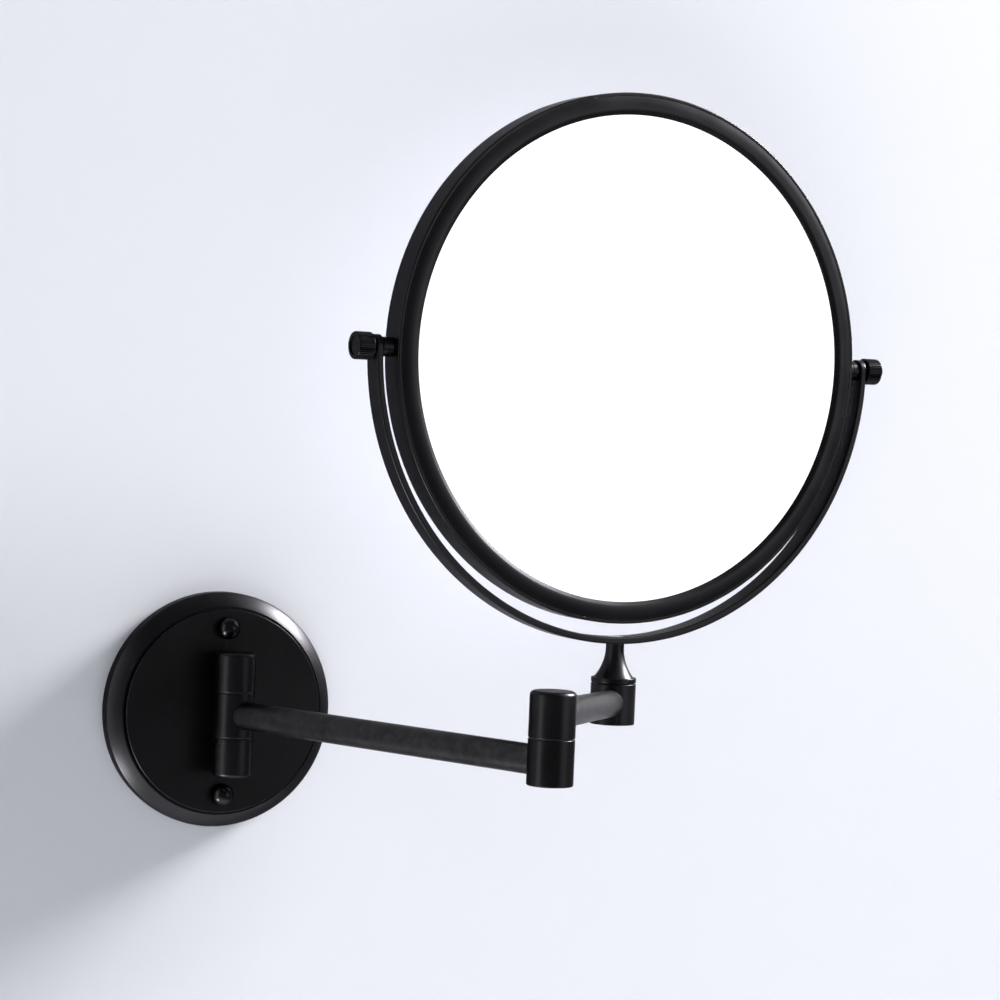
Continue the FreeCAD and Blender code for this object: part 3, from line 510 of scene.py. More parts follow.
def drill(piece, radius, start, end):
    """Cut a round hole between two points."""
    start, end = Vector(start), Vector(end)
    along = end - start
    nothing_selected()
    bpy.ops.mesh.primitive_cylinder_add(
        vertices=64, radius=radius, depth=along.length, location=(start + end) / 2,
        rotation=along.to_track_quat("Z", "Y").to_euler())
    tool = bpy.context.object
    tool.name = "drill"
    bpy.ops.object.transform_apply(location=True, rotation=True, scale=True)
    combine(piece, tool, "DIFFERENCE")


def drill_wall(piece, radius, directions, middle):
    """Cut a round hole through a round wall, in each direction from its centre."""
    for direction in directions:
        drill(piece, radius, direction * (INSIDE * middle), direction * (OUTSIDE * middle))


def twin(piece, name):
    """A second piece of the same shape, with its own mesh."""
    activate(piece)
    bpy.ops.object.duplicate(linked=False)
    other = bpy.context.object
    other.name = name
    other.data.name = name
    return other


def settle(piece, place):
    """Move a finished piece to its place and leave that place in its mesh."""
    activate(piece)
    piece.matrix_world = place
    bpy.ops.object.transform_apply(location=True, rotation=True, scale=True)


def smooth(piece, sharpest=38):
    """Even shading: sharp where faces meet steeply, the rest led by the larger faces."""
    activate(piece)
    bpy.ops.object.shade_smooth_by_angle(angle=radians(sharpest))
    weigh = piece.modifiers.new("Even shading", "WEIGHTED_NORMAL")
    weigh.keep_sharp = True
    bpy.ops.object.modifier_apply(modifier=weigh.name)


def fit(piece, place, body, stands_for, paint=None):
    """Settle a piece, paint it, give it its body, and hide the CAD node that it stands for."""
    settle(piece, place)
    smooth(piece)
    piece.data.materials.clear()
    piece.data.materials.append((paint or satin_black)())
    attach(piece, body)
    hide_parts(stands_for)


# ---------------------------------------------------------------- shader groups

def feed(socket, value):
    """Link an input to an output socket, or give it a plain value."""
    if isinstance(value, bpy.types.NodeSocket):
        socket.id_data.links.new(value, socket)
    else:
        socket.default_value = value


def node(tree, kind, spot, **values):
    """Add a node at a spot of the node editor, with its settings and its named inputs."""
    item = tree.nodes.new(kind)
    item.location = (220 * spot[0], -180 * spot[1])
    for key, value in values.items():
        label = key.replace("_", " ")
        if label in item.inputs:
            feed(item.inputs[label], value)
        else:
            setattr(item, key, value)
    return item


def maths(tree, operation, spot, *terms):
    """A Math node whose terms are numbers or sockets; gives its output."""
    item = node(tree, "ShaderNodeMath", spot, operation=operation)
    for socket, term in zip(item.inputs, terms):
        feed(socket, term)
    return item.outputs["Value"]


def grading(tree, value, spot, low, high, to_low=0.0, to_high=1.0):
    """A Map Range node that clamps; gives its output."""
    return node(tree, "ShaderNodeMapRange", spot, clamp=True, Value=value, From_Min=low,
                From_Max=high, To_Min=to_low, To_Max=to_high).outputs["Result"]


def noise(tree, vector, spot, scale, detail=2.0, roughness=0.5):
    return node(tree, "ShaderNodeTexNoise", spot, Vector=vector, Scale=scale, Detail=detail,
                Roughness=roughness).outputs["Fac"]


def shader_group(name, outputs, **numbers):
    """A node group with a vector and numbers going in; gives it, its inputs and its outputs."""
    group = bpy.data.node_groups.new(name, "ShaderNodeTree")
    group.interface.new_socket("Vector", in_out="INPUT", socket_type="NodeSocketVector")
    for key, default in numbers.items():
        socket = group.interface.new_socket(key.replace("_", " "), in_out="INPUT",
                                            socket_type="NodeSocketFloat")
        socket.default_value = default
    for label in outputs:
        group.interface.new_socket(label, in_out="OUTPUT", socket_type="NodeSocketFloat")
    return (group, node(group, "NodeGroupInput", (-5, 0)).outputs,
            node(group, "NodeGroupOutput", (5, 0)).inputs)


def paint_grain_group():
    """Fine orange peel and a slow mottle, as sprayed and baked paint has."""
    group, start, end = shader_group("Paint grain", ("Height", "Mottle"), Grain_size=0.5 * MM)
    place = start["Vector"]
    scale = maths(group, "DIVIDE", (-4, 1), 1.0, start["Grain size"])
    coarse = noise(group, place, (-3, 0), scale, detail=2.0, roughness=0.55)
    fine_scale = maths(group, "MULTIPLY", (-3, 1), scale, 3.7)
    fine = noise(group, place, (-2, 1), fine_scale, detail=1.0)
    fine_share = maths(group, "MULTIPLY", (-1, 1), fine, 0.35)
    feed(end["Height"], maths(group, "ADD", (0, 0), coarse, fine_share))
    mottle = noise(group, place, (-2, 2), scale=42.0, detail=3.0, roughness=0.6)
    feed(end["Mottle"], grading(group, mottle, (-1, 2), 0.3, 0.7))
    return group


def edge_wear_group():
    """A mask of the outer edges where paint thins, also used to paint the highlight that edges catch, broken
    up by noise.
    """
    group, start, end = shader_group("Edge wear", ("Wear",), Start=0.54, Full=0.66, Amount=0.5)
    shape = node(group, "ShaderNodeNewGeometry", (-4, 2)).outputs["Pointiness"]
    edge = grading(group, shape, (-2, 1), start["Start"], start["Full"])
    patches = noise(group, start["Vector"], (-3, 3), scale=260.0, detail=3.0, roughness=0.65)
    patches = grading(group, patches, (-2, 3), 0.35, 0.65, to_low=0.25)
    broken = maths(group, "MULTIPLY", (0, 1), edge, patches)
    feed(end["Wear"], maths(group, "MULTIPLY", (2, 1), broken, start["Amount"]))
    return group


def settled_dust_group():
    """A thin veil of dust on the surfaces that face upwards."""
    group, start, end = shader_group("Settled dust", ("Dust",), Amount=0.1)
    normal = node(group, "ShaderNodeNewGeometry", (-4, 2)).outputs["Normal"]
    upward = node(group, "ShaderNodeSeparateXYZ", (-3, 2), Vector=normal).outputs["Z"]
    upward = grading(group, upward, (-2, 2), 0.35, 0.95)
    clouds = noise(group, start["Vector"], (-3, 3), scale=130.0, detail=4.0, roughness=0.7)
    clouds = grading(group, clouds, (-2, 3), 0.38, 0.72, to_low=0.2)
    veil = maths(group, "MULTIPLY", (-1, 2), upward, clouds)
    feed(end["Dust"], maths(group, "MULTIPLY", (0, 2), veil, start["Amount"]))
    return group


def turning_marks_group():
    """Fine concentric marks about the vector's Z axis, as a lathe leaves them."""
    group, start, end = shader_group("Turning marks", ("Height", "Streak"), Pitch=0.25 * MM)
    split = node(group, "ShaderNodeSeparateXYZ", (-4, 0), Vector=start["Vector"]).outputs
    across = maths(group, "POWER", (-3, 0), split["X"], 2.0)
    upward = maths(group, "POWER", (-3, 1), split["Y"], 2.0)
    radius = maths(group, "SQRT", (-1, 0), maths(group, "ADD", (-2, 0), across, upward))
    turn = maths(group, "ARCTAN2", (-3, 2), split["Y"], split["X"])
    spot = node(group, "ShaderNodeCombineXYZ", (1, 0),
                X=maths(group, "DIVIDE", (0, 0), radius, start["Pitch"]),
                Y=maths(group, "DIVIDE", (0, 1), split["Z"], start["Pitch"]),
                Z=maths(group, "MULTIPLY", (0, 2), turn, 0.7)).outputs["Vector"]
    feed(end["Height"], noise(group, spot, (2, 0), scale=1.0, detail=3.0, roughness=0.7))
    wide = node(group, "ShaderNodeVectorMath", (2, 1), operation="MULTIPLY")
    feed(wide.inputs[0], spot)
    feed(wide.inputs[1], (0.18, 0.18, 3.0))
    streak = noise(group, wide.outputs["Vector"], (3, 1), scale=1.0, detail=2.0, roughness=0.6)
    feed(end["Streak"], grading(group, streak, (4, 1), 0.35, 0.65))
    return group


GROUPS = {
    "Paint grain": paint_grain_group,
    "Edge wear": edge_wear_group,
    "Settled dust": settled_dust_group,
    "Turning marks": turning_marks_group,
}


def effect(tree, name, spot, vector, **values):
    """Place a shader group, built when it is first wanted, in a material."""
    group = bpy.data.node_groups.get(name) or GROUPS[name]()
    return node(tree, "ShaderNodeGroup", spot, node_tree=group, Vector=vector,
                **values).outputs


# ---------------------------------------------------------------- materials

def blank_material(name):
    """A material; gives it, its tree, its Principled shader's inputs and its own place."""
    material = bpy.data.materials.new(name)
    material.use_nodes = True
    tree = material.node_tree
    tree.nodes["Principled BSDF"].location = (900, 0)
    tree.nodes["Material Output"].location = (1200, 0)
    place = node(tree, "ShaderNodeTexCoord", (-5, 0)).outputs["Object"]
    return material, tree, tree.nodes["Principled BSDF"].inputs, place


def shade(tint, share):
    """A colour made darker or paler."""
    return tuple(min(1.0, value * share) for value in tint)


def mixed_colour(tree, spot, share, first, second):
    """Blend two colours, each a plain colour or a socket."""
    item = node(tree, "ShaderNodeMix", spot, data_type="RGBA", Factor=share)
    ends = [socket for socket in item.inputs if socket.type == "RGBA"]
    for socket, value in zip(ends, (first, second)):
        feed(socket, value if isinstance(value, bpy.types.NodeSocket) else (*value, 1.0))
    return next(socket for socket in item.outputs if socket.type == "RGBA")


def bump(tree, shader, spot, height, depth, strength=1.0):
    bumped = node(tree, "ShaderNodeBump", spot, Distance=depth, Strength=strength, Height=height)
    feed(shader["Normal"], bumped.outputs["Normal"])


def black_paint(name, wear, dust, gloss=0.0, marks=0.0, centre=None):
    """Satin black: grain, edges where paint thins with a painted edge highlight, dust, and the turning marks
    under the paint.

    The coat is shaded as a dark metal, which brightens only towards grazing angles."""
    finish = settings().finish
    roughness = finish.sheen - gloss
    material, tree, shader, place = blank_material(name)
    grain = effect(tree, "Paint grain", (-3, 0), place, Grain_size=finish.grain)
    worn_and_glint = effect(tree, "Edge wear", (-3, 2), place, Amount=wear)["Wear"]
    veil = effect(tree, "Settled dust", (-3, 4), place, Amount=dust)["Dust"]
    base = mixed_colour(tree, (-1, 0), grain["Mottle"], finish.black, shade(finish.black, 1.2))
    # The edge mask lightens the black along edges: thinned paint and a painted edge highlight.
    base = mixed_colour(tree, (0, 0), worn_and_glint, base, finish.worn_and_glint)
    feed(shader["Base Color"], mixed_colour(tree, (1, 0), veil, base, finish.dust))
    rough = grading(tree, grain["Mottle"], (-1, 2), 0.0, 1.0, roughness - 0.025,
                    roughness + 0.035)
    height = maths(tree, "MULTIPLY", (0, 3), grain["Height"], 1.0 - marks)
    if marks:
        axis = node(tree, "ShaderNodeMapping", (-4, 6), vector_type="TEXTURE", Vector=place,
                    Location=centre.translation, Rotation=centre.to_euler())
        lathe = effect(tree, "Turning marks", (-3, 6), axis.outputs["Vector"])
        rings = maths(tree, "MULTIPLY", (0, 5), lathe["Height"], marks)
        height = maths(tree, "ADD", (1, 4), height, rings)
        swing = maths(tree, "MULTIPLY", (0, 6), lathe["Streak"], 0.09 * marks)
        rough = maths(tree, "ADD", (1, 6), rough, swing)
    dulled = maths(tree, "MULTIPLY", (1, 2), veil, 0.5)
    feed(shader["Roughness"], maths(tree, "ADD", (2, 2), rough, dulled))
    feed(shader["Metallic"], maths(tree, "SUBTRACT", (2, 1), 1.0, veil))
    feed(shader["Specular Tint"], (*finish.edge, 1.0))
    bump(tree, shader, (3, 3), height, 0.018 * MM)
    return material


def made_once(name, build, **values):
    return bpy.data.materials.get(name) or build(name, **values)


def satin_black():
    return made_once("Satin black", black_paint, wear=0.30, dust=0.035)


def plate_black():
    return made_once("Satin black on the spun plate", black_paint, wear=0.30, dust=0.03,
                     gloss=0.02, marks=0.30, centre=ON_WALL)


def frame_black():
    return made_once("Satin black on the frame", black_paint, wear=0.30, dust=0.05,
                     marks=0.30, centre=ON_MIRROR)


def knob_black():
    return made_once("Semi-gloss black", black_paint, wear=0.45, dust=0.04, gloss=0.07)


def plated(name, tint, roughness, spangle):
    """Bare or plated steel: cloudy colour, fine scratches and a little grain, with paler edges that are
    partly wear and partly a painted highlight.
    """
    material, tree, shader, place = blank_material(name)
    clouds = noise(tree, place, (-3, 0), scale=180.0, detail=4.0, roughness=0.65)
    clouds = grading(tree, clouds, (-2, 0), 0.3, 0.7)
    base = mixed_colour(tree, (-1, 0), clouds, shade(tint, 1.0 - spangle), tint)
    # Paler edges: partly worn plating, partly a painted edge highlight.
    worn_and_glint = effect(tree, "Edge wear", (-3, 2), place, Amount=0.6)["Wear"]
    feed(shader["Base Color"], mixed_colour(tree, (0, 0), worn_and_glint, base, shade(tint, 1.3)))
    stretch = node(tree, "ShaderNodeMapping", (-4, 3), Scale=(900.0, 900.0, 5200.0),
                   Vector=place)
    scratches = noise(tree, stretch.outputs["Vector"], (-3, 3), scale=1.0, roughness=0.6)
    feed(shader["Roughness"], grading(tree, scratches, (-1, 3), 0.3, 0.7, roughness - 0.06,
                                      roughness + 0.08))
    feed(shader["Metallic"], 1.0)
    bump(tree, shader, (1, 3), scratches, 0.006 * MM)
    return material


def zinc_plate():
    return made_once("Zinc-plated steel", plated, tint=settings().finish.zinc, roughness=0.38,
                     spangle=0.22)


def ground_steel():
    return made_once("Ground steel", plated, tint=settings().finish.steel, roughness=0.24,
                     spangle=0.10)


def moulded(name, tint, roughness, depth):
    """Moulded plastic: fine leathery skin with small changes of tone."""
    material, tree, shader, place = blank_material(name)
    grain = effect(tree, "Paint grain", (-3, 0), place, Grain_size=0.4 * MM)
    veil = effect(tree, "Settled dust", (-3, 3), place, Amount=0.12)["Dust"]
    base = mixed_colour(tree, (-1, 0), grain["Mottle"], shade(tint, 0.7), tint)
    feed(shader["Base Color"], mixed_colour(tree, (0, 0), veil, base, settings().finish.dust))
    feed(shader["Roughness"], grading(tree, grain["Mottle"], (-1, 2), 0.0, 1.0,
                                      roughness - 0.05, roughness + 0.06))
    bump(tree, shader, (1, 3), grain["Height"], depth)
    return material


def nylon():
    return made_once("Black nylon", moulded, tint=settings().finish.nylon, roughness=0.48,
                     depth=0.01 * MM)


def core_plastic():
    return made_once("Moulded core", moulded, tint=settings().finish.core, roughness=0.62,
                     depth=0.03 * MM)


def silvered(name):
    """Silvered glass: a near perfect reflection, faintly dimmed by breath and dust."""
    material, tree, shader, place = blank_material(name)
    silver = settings().finish.silver
    haze = noise(tree, place, (-3, 0), scale=24.0, detail=4.0, roughness=0.6)
    haze = grading(tree, haze, (-2, 0), 0.4, 0.75)
    veil = effect(tree, "Settled dust", (-3, 3), place, Amount=0.05)["Dust"]
    base = mixed_colour(tree, (-1, 0), haze, silver, shade(silver, 0.985))
    feed(shader["Base Color"], mixed_colour(tree, (0, 0), veil, base, (0.7, 0.7, 0.7)))
    feed(shader["Roughness"], grading(tree, haze, (-1, 2), 0.0, 1.0, 0.004, 0.016))
    feed(shader["Metallic"], 1.0)
    return material


def mirror_glass():
    return made_once("Silvered glass", silvered)


# ---------------------------------------------------------------- wall mount

def ring_grooves(radius, level, barrel, number):
    """Corners of fine grooves that follow each other down a barrel's side."""
    corners = []
    half, floor = barrel.groove_width / 2, radius - barrel.groove_depth
    for turn in range(1, number + 1):
        middle = level - turn * barrel.groove_step
        corners += [(radius, middle + half), (floor, middle + half),
                    (floor, middle - half), (radius, middle - half)]
    return corners


class WALLMIRROR_OT_plate(bpy.types.Operator):
    """Turn and drill the wall plate's cover"""
    bl_idname = "wallmirror.plate"
    bl_label = "Wall plate"

    def execute(self, context):
        plate = settings().plate
        radius, height = half_width("wall_plate"), box_size("wall_plate").y
        flange_top = (plate.bevel_top, plate.bevel_level)
        flange_foot = (radius, plate.rim_height)
        holes = ((plate.stud_offset, plate.stud_hole),
                 (plate.ear_screw_offset, plate.screw_hole))
        # Rings of vertices on both sides of the holes keep the faces there short.
        rings = sorted(offset + side * 2 * hole for offset, hole in holes for side in (-1, 1))
        cover = turned("wall_plate_cover", [
            (0, height),
            *((ring, height) for ring in rings),
            (plate.face_radius, height, plate.face_round),
            (plate.face_radius, plate.groove_level),
            (plate.bevel_top, plate.groove_level),
            (*flange_top, plate.bevel_round),
            *arc_points(flange_top, flange_foot, plate.bevel_curve, steps=6),
            (*flange_foot, plate.rim_round),
            (radius, 0, plate.wall_round),
            (plate.hollow_radius, 0, plate.wall_round),
            (plate.hollow_radius, plate.hollow_lip),
            (plate.hollow_top, plate.hollow_depth, plate.hollow_round),
            (0, plate.hollow_depth),
        ], plate.sides, closed=False)
        for offset, hole in holes:
            for side in (-1, 1):
                drill(cover, hole, (0, side * offset, 0), (0, side * offset, height + MM))
        fit(cover, ON_WALL, "wall_mount", "wall_plate", plate_black)
        return {"FINISHED"}


class WALLMIRROR_OT_dome_nuts(bpy.types.Operator):
    """Turn a domed nut and set it and its twin on the plate's studs"""
    bl_idname = "wallmirror.dome_nuts"
    bl_label = "Domed nuts"

    def execute(self, context):
        plate = settings().plate
        radius, height = half_width("dome_nuts"), box_size("dome_nuts").y
        skirt = height - radius
        bore_end = skirt + radius * plate.dome_bore_rise
        dome = [(radius * cos(turn), skirt + radius * sin(turn))
                for turn in (radians(step) for step in range(80, -1, -10))]
        upper = turned("dome_nut_upper", [
            (0, height), *dome,
            (radius, 0, plate.dome_round),
            (plate.dome_bore, 0),
            (plate.dome_bore, bore_end),
            (0, bore_end),
        ], settings().barrel.sides, closed=False)
        lower = twin(upper, "dome_nut_lower")
        face = -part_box("dome_nuts")[1].y
        for nut, side in ((upper, 1), (lower, -1)):
            spot = OUT_OF_WALL * face + UP * (side * plate.stud_offset)
            fit(nut, standing(spot, OUT_OF_WALL, RIGHT), "wall_mount", "dome_nuts", knob_black)
        return {"FINISHED"}


def hinge_ear(name, stands_for, side, start, end, grooves):
    """One fixed knuckle with its foot; side is 1 above the swivel barrel and -1 below."""
    barrel = settings().barrel
    low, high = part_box(stands_for)
    radius, length = (high.x - low.x) / 2, high.z - low.z
    joint = low.z if side > 0 else high.z
    outline = [*start, (barrel.pin_bore, 0), (radius, 0, barrel.joint_round),
               *ring_grooves(radius, 0, barrel, grooves),
               (radius, -length, barrel.knuckle_round), (end, -length)]
    if side > 0:
        outline = [(corner[0], -corner[1], *corner[2:]) for corner in outline]
    ear = turned(name, outline, barrel.sides, closed=end > 0)
    foot, top = sorted((side * barrel.neck_foot, side * barrel.neck_top))
    face = high.y - HINGE.y
    neck = block("neck", (-barrel.neck_half_width, face - barrel.neck_length, foot),
                 (barrel.neck_half_width, face, top), barrel.neck_round)
    combine(ear, neck, "UNION")
    level = side * settings().plate.ear_screw_offset - joint
    drill(ear, settings().plate.screw_hole, (0, face + MM, level),
          (0, face - barrel.screw_depth, level))
    fit(ear, Matrix.Translation((HINGE.x, HINGE.y, joint)), "wall_mount", stands_for)


class WALLMIRROR_OT_hinge_ears(bpy.types.Operator):
    """Turn the two fixed knuckles, join their feet and cut the grooves"""
    bl_idname = "wallmirror.hinge_ears"
    bl_label = "Hinge knuckles"

    def execute(self, context):
        barrel = settings().barrel
        bore = barrel.pin_bore
        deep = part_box("hinge_pin")[1].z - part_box("hinge_upper_ear")[0].z + barrel.pin_gap
        hinge_ear("hinge_knuckle_upper", "hinge_upper_ear", 1, [(0, -deep), (bore, -deep)], 0, 0)
        hinge_ear("hinge_knuckle_lower", "hinge_lower_ear", -1, [], bore, 2)
        return {"FINISHED"}


# ---------------------------------------------------------------- arms

def outer_arm_slope():
    """The direction of the outer tube, which falls from the elbow to the head."""
    return (HEAD - ELBOW - UP * settings().barrel.outer_arm_fall).normalized()


def drill_socket(piece, level, slope, start, radius):
    """Cut the socket that a tube enters, from inside the barrel to well outside it."""
    middle = UP * level
    drill(piece, settings().barrel.socket_radius, middle + slope * start,
          middle + slope * 2 * radius)


class WALLMIRROR_OT_swivel_barrel(bpy.types.Operator):
    """Turn the middle knuckle of the wall hinge and bore it for the inner arm"""
    bl_idname = "wallmirror.swivel_barrel"
    bl_label = "Swivel barrel"

    def execute(self, context):
        barrel = settings().barrel
        radius, half = half_width("swivel_barrel"), box_size("swivel_barrel").z / 2
        piece = turned("hinge_swivel_barrel", [
            (barrel.pin_bore, half),
            (radius, half, barrel.joint_round),
            (radius, -half, barrel.joint_round),
            (barrel.pin_bore, -half),
        ], barrel.sides)
        drill_socket(piece, 0, INNER_ARM, barrel.hinge_socket, radius)
        fit(piece, Matrix.Translation(HINGE), "inner_arm", "swivel_barrel")
        return {"FINISHED"}


class WALLMIRROR_OT_elbow(bpy.types.Operator):
    """Turn both halves of the elbow and its cap, and bore them for the arms"""
    bl_idname = "wallmirror.elbow"
    bl_label = "Elbow"

    def execute(self, context):
        barrel = settings().barrel
        radius = half_width("elbow_upper")
        foot, joint = levels("elbow_lower")
        bolt_foot = levels("elbow_bolt")[0] - barrel.bolt_gap
        lower = turned("elbow_half_lower", [
            (0, foot),
            (radius, foot, barrel.foot_round),
            (radius, joint, barrel.joint_round),
            (barrel.bolt_hole, joint),
            (barrel.bolt_hole, bolt_foot),
            (0, bolt_foot),
        ], barrel.sides, closed=False)
        drill_socket(lower, 0, -INNER_ARM, barrel.elbow_socket, radius)
        base, top = levels("elbow_upper")
        cap_low, cap_high = levels("elbow_cap")
        cap_radius = half_width("elbow_cap")
        recess, shelf = cap_radius + barrel.cap_gap, cap_low - barrel.cap_gap
        upper = turned("elbow_half_upper", [
            (barrel.pin_bore, base),
            (radius, base, barrel.joint_round),
            (radius, top, barrel.end_round),
            (recess, top),
            (recess, shelf),
            (barrel.bolt_head, shelf),
            (barrel.bolt_head, base + barrel.bolt_seat),
            (barrel.pin_bore, base + barrel.bolt_seat),
        ], barrel.sides)
        drill_socket(upper, barrel.outer_arm_level, outer_arm_slope(), barrel.elbow_socket,
                     radius)
        cap = turned("elbow_cap_disc", [
            (0, cap_high),
            (cap_radius, cap_high, barrel.cap_round),
            (cap_radius, cap_low),
            (0, cap_low),
        ], barrel.sides, closed=False)
        for piece, body, stands_for in ((lower, "inner_arm", "elbow_lower"),
                                        (upper, "outer_arm", "elbow_upper"),
                                        (cap, "outer_arm", "elbow_cap")):
            fit(piece, Matrix.Translation(ELBOW), body, stands_for)
        return {"FINISHED"}


class WALLMIRROR_OT_head_barrel(bpy.types.Operator):
    """Turn the barrel at the outer arm's end, which carries the stem"""
    bl_idname = "wallmirror.head_barrel"
    bl_label = "Head barrel"

    def execute(self, context):
        barrel = settings().barrel
        foot, top = levels("head_barrel")
        radius = half_width("head_barrel")
        shelf = levels("head_retainer")[1] + barrel.retainer_gap
        piece = turned("head_swivel_barrel", [
            (barrel.retainer_recess, foot),
            (radius, foot, barrel.lip_round),
            (radius, top, barrel.lip_round),
            (barrel.spindle_bore, top),
            (barrel.spindle_bore, shelf),
            (barrel.retainer_recess, shelf),
        ], barrel.sides)
        drill_socket(piece, barrel.outer_arm_level - barrel.outer_arm_fall,
                     -outer_arm_slope(), barrel.head_socket, radius)
        fit(piece, Matrix.Translation(HEAD), "outer_arm", "head_barrel")
        return {"FINISHED"}


# ---------------------------------------------------------------- yoke

class WALLMIRROR_OT_stem(bpy.types.Operator):
    """Turn the stem: spindle, collar and the flare under the half ring"""
    bl_idname = "wallmirror.stem"
    bl_label = "Stem"

    def execute(self, context):
        yoke = settings().yoke
        foot, top = levels("yoke_stem")
        radius = half_width("yoke_stem")
        collar = levels("head_washer")[1] + yoke.washer_gap
        shoulder = collar + yoke.collar_height
        flare = arc_points((yoke.flare_radius, shoulder), (yoke.neck_radius, top),
                           yoke.flare_curve, steps=10)
        stem = turned("yoke_stem_turned", [
            (0, top),
            (yoke.neck_radius, top),
            *reversed(flare),
            (yoke.flare_radius, shoulder),
            (radius, shoulder, yoke.collar_round),
            (radius, collar, yoke.lower_round),
            (yoke.spindle_radius, collar),
            (yoke.spindle_radius, foot, yoke.lower_round),
            (0, foot),
        ], settings().barrel.sides, closed=False)
        drill(stem, yoke.head_screw_hole, UP * (foot - MM), UP * (foot + yoke.screw_hole_depth))
        drill(stem, yoke.screw_hole, UP * (top + MM), UP * (top - yoke.screw_hole_depth))
        fit(stem, Matrix.Translation(HEAD), "yoke", "yoke_stem")
        return {"FINISHED"}


def strip_end(ring, side, yoke):
    """Carry the strip on above the pivot line and round its end."""
    middle = (yoke.inner_radius + yoke.outer_radius) / 2
    level, width = 0.0, 1.0
    pick(ring, lambda co: side * co.x > 0 and abs(co.y) < 10 * SAME_SPOT)
    for turn in (radians(step) for step in (12, 24, 36, 48, 60, 70, 79, 86)):
        rise = yoke.half_width * sin(turn) - level
        narrow = cos(turn) / width
        bpy.ops.mesh.extrude_edges_move(TRANSFORM_OT_translate={"value": (0, rise, 0)})
        bpy.ops.transform.resize(value=(1, 1, narrow),
                                 center_override=(side * middle, level + rise, 0))
        level, width = level + rise, width * narrow
    bpy.ops.mesh.edge_face_add()


class WALLMIRROR_OT_half_ring(bpy.types.Operator):
    """Bend the half ring's strip, round its ends and drill it"""
    bl_idname = "wallmirror.half_ring"
    bl_label = "Half ring"

    def execute(self, context):
        yoke = settings().yoke
        corners = ((yoke.inner_radius, -1), (yoke.outer_radius, -1),
                   (yoke.outer_radius, 1), (yoke.inner_radius, 1))
        ring = drawn_outline("yoke_half_ring", [
            (radius, side * yoke.half_width, yoke.edge_round) for radius, side in corners
        ], closed=True)
        sweep(pi, yoke.steps)
        object_mode()
        if max(vertex.co.y for vertex in ring.data.vertices) > yoke.inner_radius:
            raise RuntimeError("the half ring is bent upwards")
        for side in (-1, 1):
            strip_end(ring, side, yoke)
        bpy.ops.mesh.select_all(action="SELECT")
        bpy.ops.mesh.normals_make_consistent(inside=False)
        middle = (yoke.inner_radius + yoke.outer_radius) / 2
        down = Vector((0, -1, 0))
        drill_wall(ring, yoke.pivot_hole, (-RIGHT, RIGHT), middle)
        drill(ring, yoke.screw_seat, down * (INSIDE * middle),
              down * (yoke.inner_radius + yoke.seat_depth))
        drill_wall(ring, yoke.screw_hole, (down,), middle)
        fit(ring, standing(PIVOT, PIVOT_AXIS.cross(UP), PIVOT_AXIS), "yoke", "yoke_ring")
        return {"FINISHED"}


# ---------------------------------------------------------------- mirror

class WALLMIRROR_OT_frame(bpy.types.Operator):
    """Turn the frame's band and both bezels"""
    bl_idname = "wallmirror.frame"
    bl_label = "Mirror frame"

    def execute(self, context):
        rim = settings().rim
        band = turned("frame_band_ring", [
            (rim.band_inner, -rim.half_depth),
            (rim.radius, -rim.half_depth, rim.band_round),
            (rim.radius, rim.half_depth, rim.band_round),
            (rim.band_inner, rim.half_depth),
        ], rim.sides)
        drill_wall(band, rim.boss_way, (-RIGHT, RIGHT), rim.radius)
        crown = arc_points((rim.crest_radius, rim.crest),
                           (rim.bezel_outer, rim.bezel_side), rim.crown_curve, steps=4)
        front = turned("frame_bezel_front", [
            (rim.lip_radius, rim.bezel_back),
            (rim.bezel_outer, rim.bezel_back),
            (rim.bezel_outer, rim.bezel_side),
            *reversed(crown),
            (rim.crest_radius, rim.crest, rim.crest_round),
            (rim.window, rim.glass_front + rim.window_lip, rim.window_round),
            (rim.window, rim.glass_front),
            (rim.lip_radius, rim.glass_front),
        ], rim.sides)
        back = twin(front, "frame_bezel_back")
        turned_round = ON_MIRROR @ Matrix.Rotation(pi, 4, "X")
        for piece, spot, stands_for in ((band, ON_MIRROR, "frame_band"),
                                        (front, ON_MIRROR, "front_bezel"),
                                        (back, turned_round, "back_bezel")):
            fit(piece, spot, "mirror", stands_for, frame_black)
        return {"FINISHED"}


PIVOT_SIDES = (("left", -1), ("right", 1))


class WALLMIRROR_OT_bosses(bpy.types.Operator):
    """Turn the bosses that carry the frame in the half ring"""
    bl_idname = "wallmirror.bosses"
    bl_label = "Pivot bosses"

    def execute(self, context):
        rim, barrel = settings().rim, settings().barrel
        shoulder = rim.radius + rim.boss_gap
        groove = (shoulder + rim.boss_end) / 2 + barrel.groove_step
        bore_end = settings().knob.screw_start - rim.boss_room
        left = turned("pivot_boss_left", [
            (0, rim.boss_start),
            (rim.boss_stem, rim.boss_start),
            (rim.boss_stem, shoulder),
            (rim.boss_radius, shoulder, rim.boss_root_round),
            *reversed(ring_grooves(rim.boss_radius, groove, barrel, 1)),
            (rim.boss_radius, rim.boss_end, rim.boss_end_round),
            (rim.boss_bore, rim.boss_end),
            (rim.boss_bore, bore_end),
            (0, bore_end),
        ], barrel.sides, closed=False)
        right = twin(left, "pivot_boss_right")
        for piece, (_, side) in zip((left, right), PIVOT_SIDES):
            fit(piece, standing(PIVOT, PIVOT_AXIS * side, FACING), "mirror", "pivot_bosses")
        return {"FINISHED"}


def knurl(piece, knob):
    """Press the knurl's grooves into the grip, every fourth column of its side."""
    pitch = 2 * pi / knob.grooves
    rim = knob.radius - knob.edge_round / 2

    def in_a_groove(co):
        turn = atan2(co.y, co.x) / pitch
        return Vector((co.x, co.y)).length >= rim and abs(turn - round(turn)) < 0.1

    pick(piece, in_a_groove)
    depth = 1 - knob.groove_depth / knob.radius
    bpy.ops.transform.resize(value=(depth, depth, 1), center_override=(0, 0, 0))


